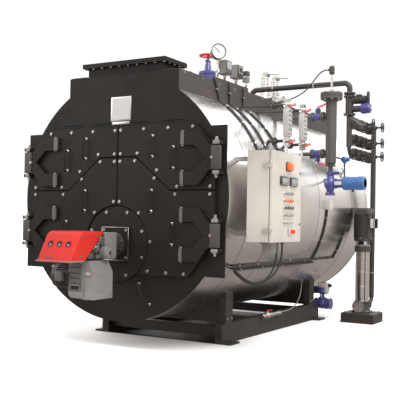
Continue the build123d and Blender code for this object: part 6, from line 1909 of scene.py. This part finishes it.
class BOILER_OT_cladding(bpy.types.Operator):
    """Add the laps and rivets of the sheets around the drum"""

    bl_idname = "boiler.cladding"
    bl_label = "Cladding laps"

    LAPS_MM = (1000, REAR_SHEETS_MM, 3300)
    SHEET = 0.0012
    HALF_LAP = 0.02
    # The sheets meet at the far left with a plain butt, so no lap stands out there
    SEAM_DEG = -176

    def execute(self, context):
        metal = "cladding"
        draft = Draft("sheet_laps")
        for place in self.LAPS_MM:
            self.hoop(draft, behind(place), metal)
        ends = [DRUM_LOW.y, *(behind(place) for place in self.LAPS_MM), DRUM_HIGH.y]
        for number, (front, rear) in enumerate(zip(ends, ends[1:])):
            angle = (-12, -6, 0, -8)[number]
            self.strip(draft, angle, front + 0.03, rear - 0.03, metal)
        self.hoop(draft, DRUM_LOW.y + 0.03, metal)
        self.hoop(draft, DRUM_HIGH.y - 0.03, metal)
        draft.done(ROOT)
        return {"FINISHED"}

    def hoop(self, draft, y, metal):
        """A lap right round the drum, with a row of rivets."""
        rows = []
        for step in range(119):
            angle = self.SEAM_DEG + step * 2.98
            low, high = (on_drum(angle, y, lift) for lift in (-0.001, self.SHEET))
            edge = Vector((0, self.HALF_LAP, 0))
            rows.append([low - edge, high - edge, high + edge, low + edge])
        draft.rows(rows, metal)
        gap = mm(0, 4.5, 0)
        shade = []
        for low, high, *_ in rows:
            shade.append([low - gap, low + (high - low) * 0.6 - gap, high - gap * 0.02, low])
        draft.rows(shade, "shadow")
        for number in range(56):
            angle = self.SEAM_DEG + 4 + number * 6.2
            self.rivet(draft, angle, y)

    def strip(self, draft, angle, front, rear, metal):
        """A lap along the drum, with a row of rivets."""
        seat = on_drum(angle, (front + rear) / 2)
        out = Vector((cos(radians(angle)), 0, sin(radians(angle))))
        across = REAR.cross(out)
        draft.block(seat, (out, REAR, across), (2 * self.SHEET, rear - front, 2 * self.HALF_LAP), metal)
        count = int((rear - front) / 0.13)
        for number in range(count):
            self.rivet(draft, angle, front + (number + 0.5) * (rear - front) / count)

    def rivet(self, draft, angle, y):
        seat = on_drum(angle, y, self.SHEET)
        out = seat - Vector((0, y, AXIS_Z))
        if abs(remainder(angle - 180, 360)) > 8:
            draft.lathe([(6.5, 0), (5, 1.6), (0, 2.2)], seat, out, "zinc", 8)


# Routes of the free cables, in metres, as the solids have them
CABLES = {
    "front_cable": (
        0.009,
        [
            (1.39, -1.42, 1.017), (1.39, -1.42, 0.938), (1.385, -1.43, 0.858), (1.371, -1.454, 0.784),
            (1.346, -1.49, 0.722), (1.31, -1.534, 0.68), (1.268, -1.578, 0.662), (1.224, -1.614, 0.666),
            (1.182, -1.634, 0.684), (1.142, -1.64, 0.711), (1.104, -1.64, 0.7395),
        ],
    ),
    "rear_cable": (
        0.009,
        [
            (1.39, -1.3, 1.017), (1.39, -1.3, 0.94), (1.384, -1.312, 0.862), (1.368, -1.34, 0.79),
            (1.34, -1.382, 0.728), (1.3, -1.432, 0.68), (1.25, -1.484, 0.652), (1.198, -1.528, 0.646),
            (1.155, -1.554, 0.656), (1.114, -1.56, 0.675), (1.079, -1.56, 0.701),
        ],
    ),
    "probe_cable": (
        0.007,
        [
            (1.35, -0.065, 2.919), (1.308, -0.065, 2.919), (1.266, -0.068, 2.899), (1.226, -0.074, 2.858),
            (1.18, -0.083, 2.79), (1.116, -0.094, 2.712), (1.02, -0.108, 2.648), (0.908, -0.124, 2.606),
            (0.8, -0.14, 2.58), (0.724, -0.152, 2.569), (0.665, -0.152, 2.569),
        ],
    ),
}


class BOILER_OT_cables(bpy.types.Operator):
    """Add the free cables, the conduits on the skirt, their clips and the boxes on the drum"""

    bl_idname = "boiler.cables"
    bl_label = "Cables"

    # Rows of clips on the low conduits: count, angle on the drum, first place and pitch in millimetres
    LOW_CLIPS = ((7, -32.0, 560, 400), (4, -34.2, 640, 480))

    def execute(self, context):
        for name, (radius, route) in CABLES.items():
            self.free_cable(name, radius, route)
        self.clips()
        self.risers()
        self.boxes()
        return {"FINISHED"}

    def free_cable(self, name, radius, route):
        """A smooth cable over its plain solid."""
        curve = bpy.data.curves.new(name + "_sheath", "CURVE")
        curve.dimensions = "3D"
        curve.bevel_depth = 1
        curve.bevel_resolution = 4
        curve.use_fill_caps = True
        spline = curve.splines.new("NURBS")
        spline.points.add(len(route) - 1)
        for point, place in zip(spline.points, route):
            point.co = (*place, 1)
            point.radius = radius
        spline.order_u = 3
        spline.use_endpoint_u = True
        spline.resolution_u = 8
        curve.materials.append(MATERIALS["conduit_black"])
        piece = bpy.data.objects.new(name + "_sheath", curve)
        bpy.context.scene.collection.objects.link(piece)
        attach(piece, ROOT)
        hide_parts(name)
        self.length(piece)

    def length(self, piece):
        """Length of a curve's own line, read without its thickness."""
        depth = piece.data.bevel_depth
        piece.data.bevel_depth = 0
        mesh = bpy.data.meshes.new_from_object(piece)
        piece.data.bevel_depth = depth
        points = [vertex.co.copy() for vertex in mesh.vertices]
        bpy.data.meshes.remove(mesh)
        return round(sum((b - a).length for a, b in zip(points, points[1:])), 3)

    def clip(self, draft, angle, y, along_drum):
        """A zinc strap over a conduit, with a screw on each side."""
        centre = on_drum(angle, y, 0.0103)
        out = (centre - Vector((0, y, AXIS_Z))).normalized()
        round_way = REAR.cross(out)
        along = REAR if along_drum else round_way
        across = round_way if along_drum else REAR
        bridge = arc_points(centre, across, out, 0.0115, 0, 180, 8)
        strap = [centre + across * 0.032 - out * 0.0095, centre + across * 0.0115 - out * 0.0095]
        strap += bridge + [centre - across * 0.0115 - out * 0.0095, centre - across * 0.032 - out * 0.0095]
        rows = [[point + along * half for half in (-0.011, 0.011)] for point in strap]
        top = [[point + out * 0.0016 for point in row] for row in rows]
        draft.rows([row + list(reversed(lid)) for row, lid in zip(rows, top)], "zinc")
        for side in (-1, 1):
            seat = centre + across * side * 0.024 - out * 0.008
            draft.lathe([(5, 0), (5, 2), (0, 3)], seat, out, "zinc", 10)

    def clips(self):
        draft = Draft("conduit_clips")
        for place in CONDUIT_PLACES:
            for angle in (52, 40, 28):
                self.clip(draft, angle, behind(place), False)
        for count, angle, start, pitch in self.LOW_CLIPS:
            for number in range(count):
                self.clip(draft, angle, behind(start + number * pitch), True)
        for place, angles in ((2400, (-7, -20)), (3090, (-18, -27))):
            for angle in angles:
                self.clip(draft, angle, behind(place), False)
        draft.done(ROOT)

    def risers(self):
        """Rigid conduits clipped to the skirt, from the drum's conduits up to the instruments."""
        low, high = box_of("deck_skirts")
        face = SKIRT_X + 0.011
        draft = Draft("skirt_risers")
        for place, lean in zip(CONDUIT_PLACES, (0.1, 0.02, 0.0)):
            y = behind(place)
            foot = on_drum(55.0, y, 0.011)
            route = [foot, Vector((face, y, foot.z + 0.03)), Vector((face, y - lean * 0.3, low.z + 0.06))]
            route += [
                Vector((face, y - lean, high.z + 0.002)), Vector((face - 0.02, y - lean, high.z + 0.03))
            ]
            draft.tube(smooth_route(route, 6), 0.01, "conduit_black", 12)
            strap = Vector((SKIRT_X, y - lean * 0.65, low.z + 0.11))
            draft.box_at(strap, mm(-1, -24, -6), mm(22.5, 24, 6), "zinc", 0.002)
        draft.done(ROOT)

    def boxes(self):
        """Terminal boxes at the upper ends of the conduits."""
        light, black = "instrument_plastic", "motor_black"
        draft = Draft("terminal_boxes")
        self.terminal_box(draft, 0.2, behind(2400), 0.11, 0.1, light)
        self.terminal_box(draft, -12.6, behind(3090), 0.07, 0.06, black)
        for place in CONDUIT_PLACES:
            self.terminal_box(draft, 22.5, behind(place), 0.07, 0.06, black)
        draft.done(ROOT)

    def terminal_box(self, draft, angle, y, height, width, material):
        seat = on_drum(angle, y)
        out = (seat - Vector((0, y, AXIS_Z))).normalized()
        round_way = FRONT.cross(out)
        axes = (out, REAR, round_way)
        draft.block(seat + out * 0.026, axes, (0.056, width, height), material, 0.005)
        draft.block(seat + out * 0.057, axes, (0.01, width + 0.003, height + 0.003), material, 0.004)
        for side in (-1, 1):
            for end in (-1, 1):
                aside = axes[1] * side * (width / 2 - 0.011)
                corner = seat + out * 0.062 + aside + round_way * end * (height / 2 - 0.011)
                draft.lathe([(4.5, -1), (4.5, 1.2), (0, 1.8)], corner, out, "zinc", 10)


class BOILER_OT_stage(bpy.types.Operator):
    """Set up the floor, the soft light and the camera"""

    bl_idname = "boiler.stage"
    bl_label = "Set the stage"

    CAMERA_PLACE = (4.3458, -7.8488, 1.2229)
    CAMERA_YAW = radians(30.22)
    CAMERA_PITCH = radians(1.26)
    CAMERA_ROLL = radians(1.09)
    # Heights, as the upward part of a direction, where the mirrored room changes tone
    WALL_FOOT = (-0.45, 0.0)
    WALL_TOP = (0.05, 0.34)
    FLOOR_COLOUR = (0.26, 0.232, 0.208)
    WALL_COLOUR = (0.62, 0.565, 0.52)
    CEILING_COLOUR = (1.6, 1.6, 1.6)
    # A bright window to the right, mirrored as a stripe in upright tubes
    WINDOW_WAY = (0.98, -0.19, 0.0)
    WINDOW_EDGE = (0.955, 0.985)

    def execute(self, context):
        values = context.scene.boiler_stage
        self.floor(values)
        self.lights(context, values)
        self.camera(context, values)
        return {"FINISHED"}

    def floor(self, values):
        material = plain_material("floor", values.floor, 0.7)
        half, depth = 60.0, 0.05
        outline = ((-half, -half), (half, -half), (half, half), (-half, half))
        corners = [(x, y, z) for z in (-depth, 0.0) for x, y in outline]
        sides = [(0, 3, 2, 1), (4, 5, 6, 7), (0, 1, 5, 4), (1, 2, 6, 5), (2, 3, 7, 6), (3, 0, 4, 7)]
        mesh = bpy.data.meshes.new("studio_floor")
        mesh.from_pydata(corners, [], sides)
        mesh.materials.append(material)
        floor = bpy.data.objects.new("studio_floor", mesh)
        floor.visible_glossy = False
        bpy.context.scene.collection.objects.link(floor)

    def lights(self, context, values):
        context.scene.world = self.room(values)
        context.scene.view_settings.view_transform = "Standard"
        self.area(context, "Key", (5.6, -3.6, 9.4), (0.4, -0.5, 1.2), 5.0, values.key)
        self.area(context, "Fill", (-6.0, -7.0, 3.5), (0, -1.5, 1.2), 4.0, values.fill)

    def room(self, values):
        """A white backdrop, with a pale ceiling and dim walls low down for the bright sheet to mirror."""
        world = bpy.data.worlds.new("Studio")
        world.use_nodes = True
        tree = world.node_tree
        height = tree.nodes.new("ShaderNodeSeparateXYZ")
        direction = tree.nodes.new("ShaderNodeTexCoord").outputs["Generated"]
        tree.links.new(direction, height.inputs["Vector"])
        wall = remap(tree, height.outputs["Z"], *self.WALL_FOOT, 0.0, 1.0)
        ceiling = remap(tree, height.outputs["Z"], *self.WALL_TOP, 0.0, 1.0)
        colour = mix_colour(tree, wall, (*self.FLOOR_COLOUR, 1), (*self.WALL_COLOUR, 1))
        colour = mix_colour(tree, ceiling, colour, (*self.CEILING_COLOUR, 1))
        toward = tree.nodes.new("ShaderNodeVectorMath")
        toward.operation = "DOT_PRODUCT"
        toward.inputs[1].default_value = self.WINDOW_WAY
        tree.links.new(direction, toward.inputs[0])
        window = remap(tree, toward.outputs["Value"], *self.WINDOW_EDGE, 0.0, 1.0)
        colour = mix_colour(tree, window, colour, (*self.CEILING_COLOUR, 1))
        seen = tree.nodes.new("ShaderNodeLightPath").outputs["Is Camera Ray"]
        background = tree.nodes["Background"]
        tree.links.new(mix_colour(tree, seen, colour, (1, 1, 1, 1)), background.inputs["Color"])
        background.inputs["Strength"].default_value = values.sky
        return world

    def area(self, context, name, place, target, size, power):
        light = bpy.data.lights.new(name, "AREA")
        light.size = size
        light.energy = power
        lamp = bpy.data.objects.new(name, light)
        lamp.location = place
        lamp.rotation_euler = (Vector(target) - Vector(place)).to_track_quat("-Z", "Y").to_euler()
        context.scene.collection.objects.link(lamp)

    def camera(self, context, values):
        yaw, pitch, roll = self.CAMERA_YAW, self.CAMERA_PITCH, self.CAMERA_ROLL
        ahead = Vector((-sin(yaw) * cos(pitch), cos(yaw) * cos(pitch), sin(pitch)))
        right = Vector((cos(yaw), sin(yaw), 0))
        up = right.cross(ahead)
        across = right * cos(roll) + up * sin(roll)
        upright = up * cos(roll) - right * sin(roll)
        turn = Matrix((across, upright, -ahead)).transposed().to_4x4()
        data = bpy.data.cameras.new("Photograph")
        data.lens = values.lens
        data.sensor_width = 36
        camera = bpy.data.objects.new("Photograph", data)
        camera.matrix_world = Matrix.Translation(self.CAMERA_PLACE) @ turn
        context.scene.collection.objects.link(camera)
        context.scene.camera = camera


class BOILER_PT_panel(bpy.types.Panel):
    """Values and steps of the boiler's looks"""

    bl_idname = "BOILER_PT_panel"
    bl_label = "Boiler"
    bl_space_type = "VIEW_3D"
    bl_region_type = "UI"
    bl_category = "Boiler"

    def draw(self, context):
        scene = context.scene
        for settings in (scene.boiler_colours, scene.boiler_hardware, scene.boiler_stage):
            for label in settings.__annotations__:
                self.layout.prop(settings, label)
        for operator in OPERATORS:
            self.layout.operator(operator.bl_idname)


SETTINGS = (BoilerColours, BoilerHardware, BoilerStage)
OPERATORS = (
    BOILER_OT_finishes,
    BOILER_OT_door_hardware,
    BOILER_OT_front_trim,
    BOILER_OT_burner,
    BOILER_OT_top_fittings,
    BOILER_OT_instruments,
    BOILER_OT_level_gauges,
    BOILER_OT_water_column,
    BOILER_OT_feed_line,
    BOILER_OT_feed_pump,
    BOILER_OT_cabinet,
    BOILER_OT_cladding,
    BOILER_OT_base,
    BOILER_OT_cables,
    BOILER_OT_stage,
)


def register():
    for kind in (*SETTINGS, *OPERATORS, BOILER_PT_panel):
        bpy.utils.register_class(kind)
    bpy.types.Scene.boiler_colours = PointerProperty(type=BoilerColours)
    bpy.types.Scene.boiler_hardware = PointerProperty(type=BoilerHardware)
    bpy.types.Scene.boiler_stage = PointerProperty(type=BoilerStage)


def unregister():
    del bpy.types.Scene.boiler_stage
    del bpy.types.Scene.boiler_hardware
    del bpy.types.Scene.boiler_colours
    for kind in reversed((*SETTINGS, *OPERATORS, BOILER_PT_panel)):
        bpy.utils.unregister_class(kind)


def main():
    register()
    for operator in OPERATORS:
        section, step = operator.bl_idname.split(".")
        getattr(getattr(bpy.ops, section), step)()


if __name__ == "__main__":
    main()
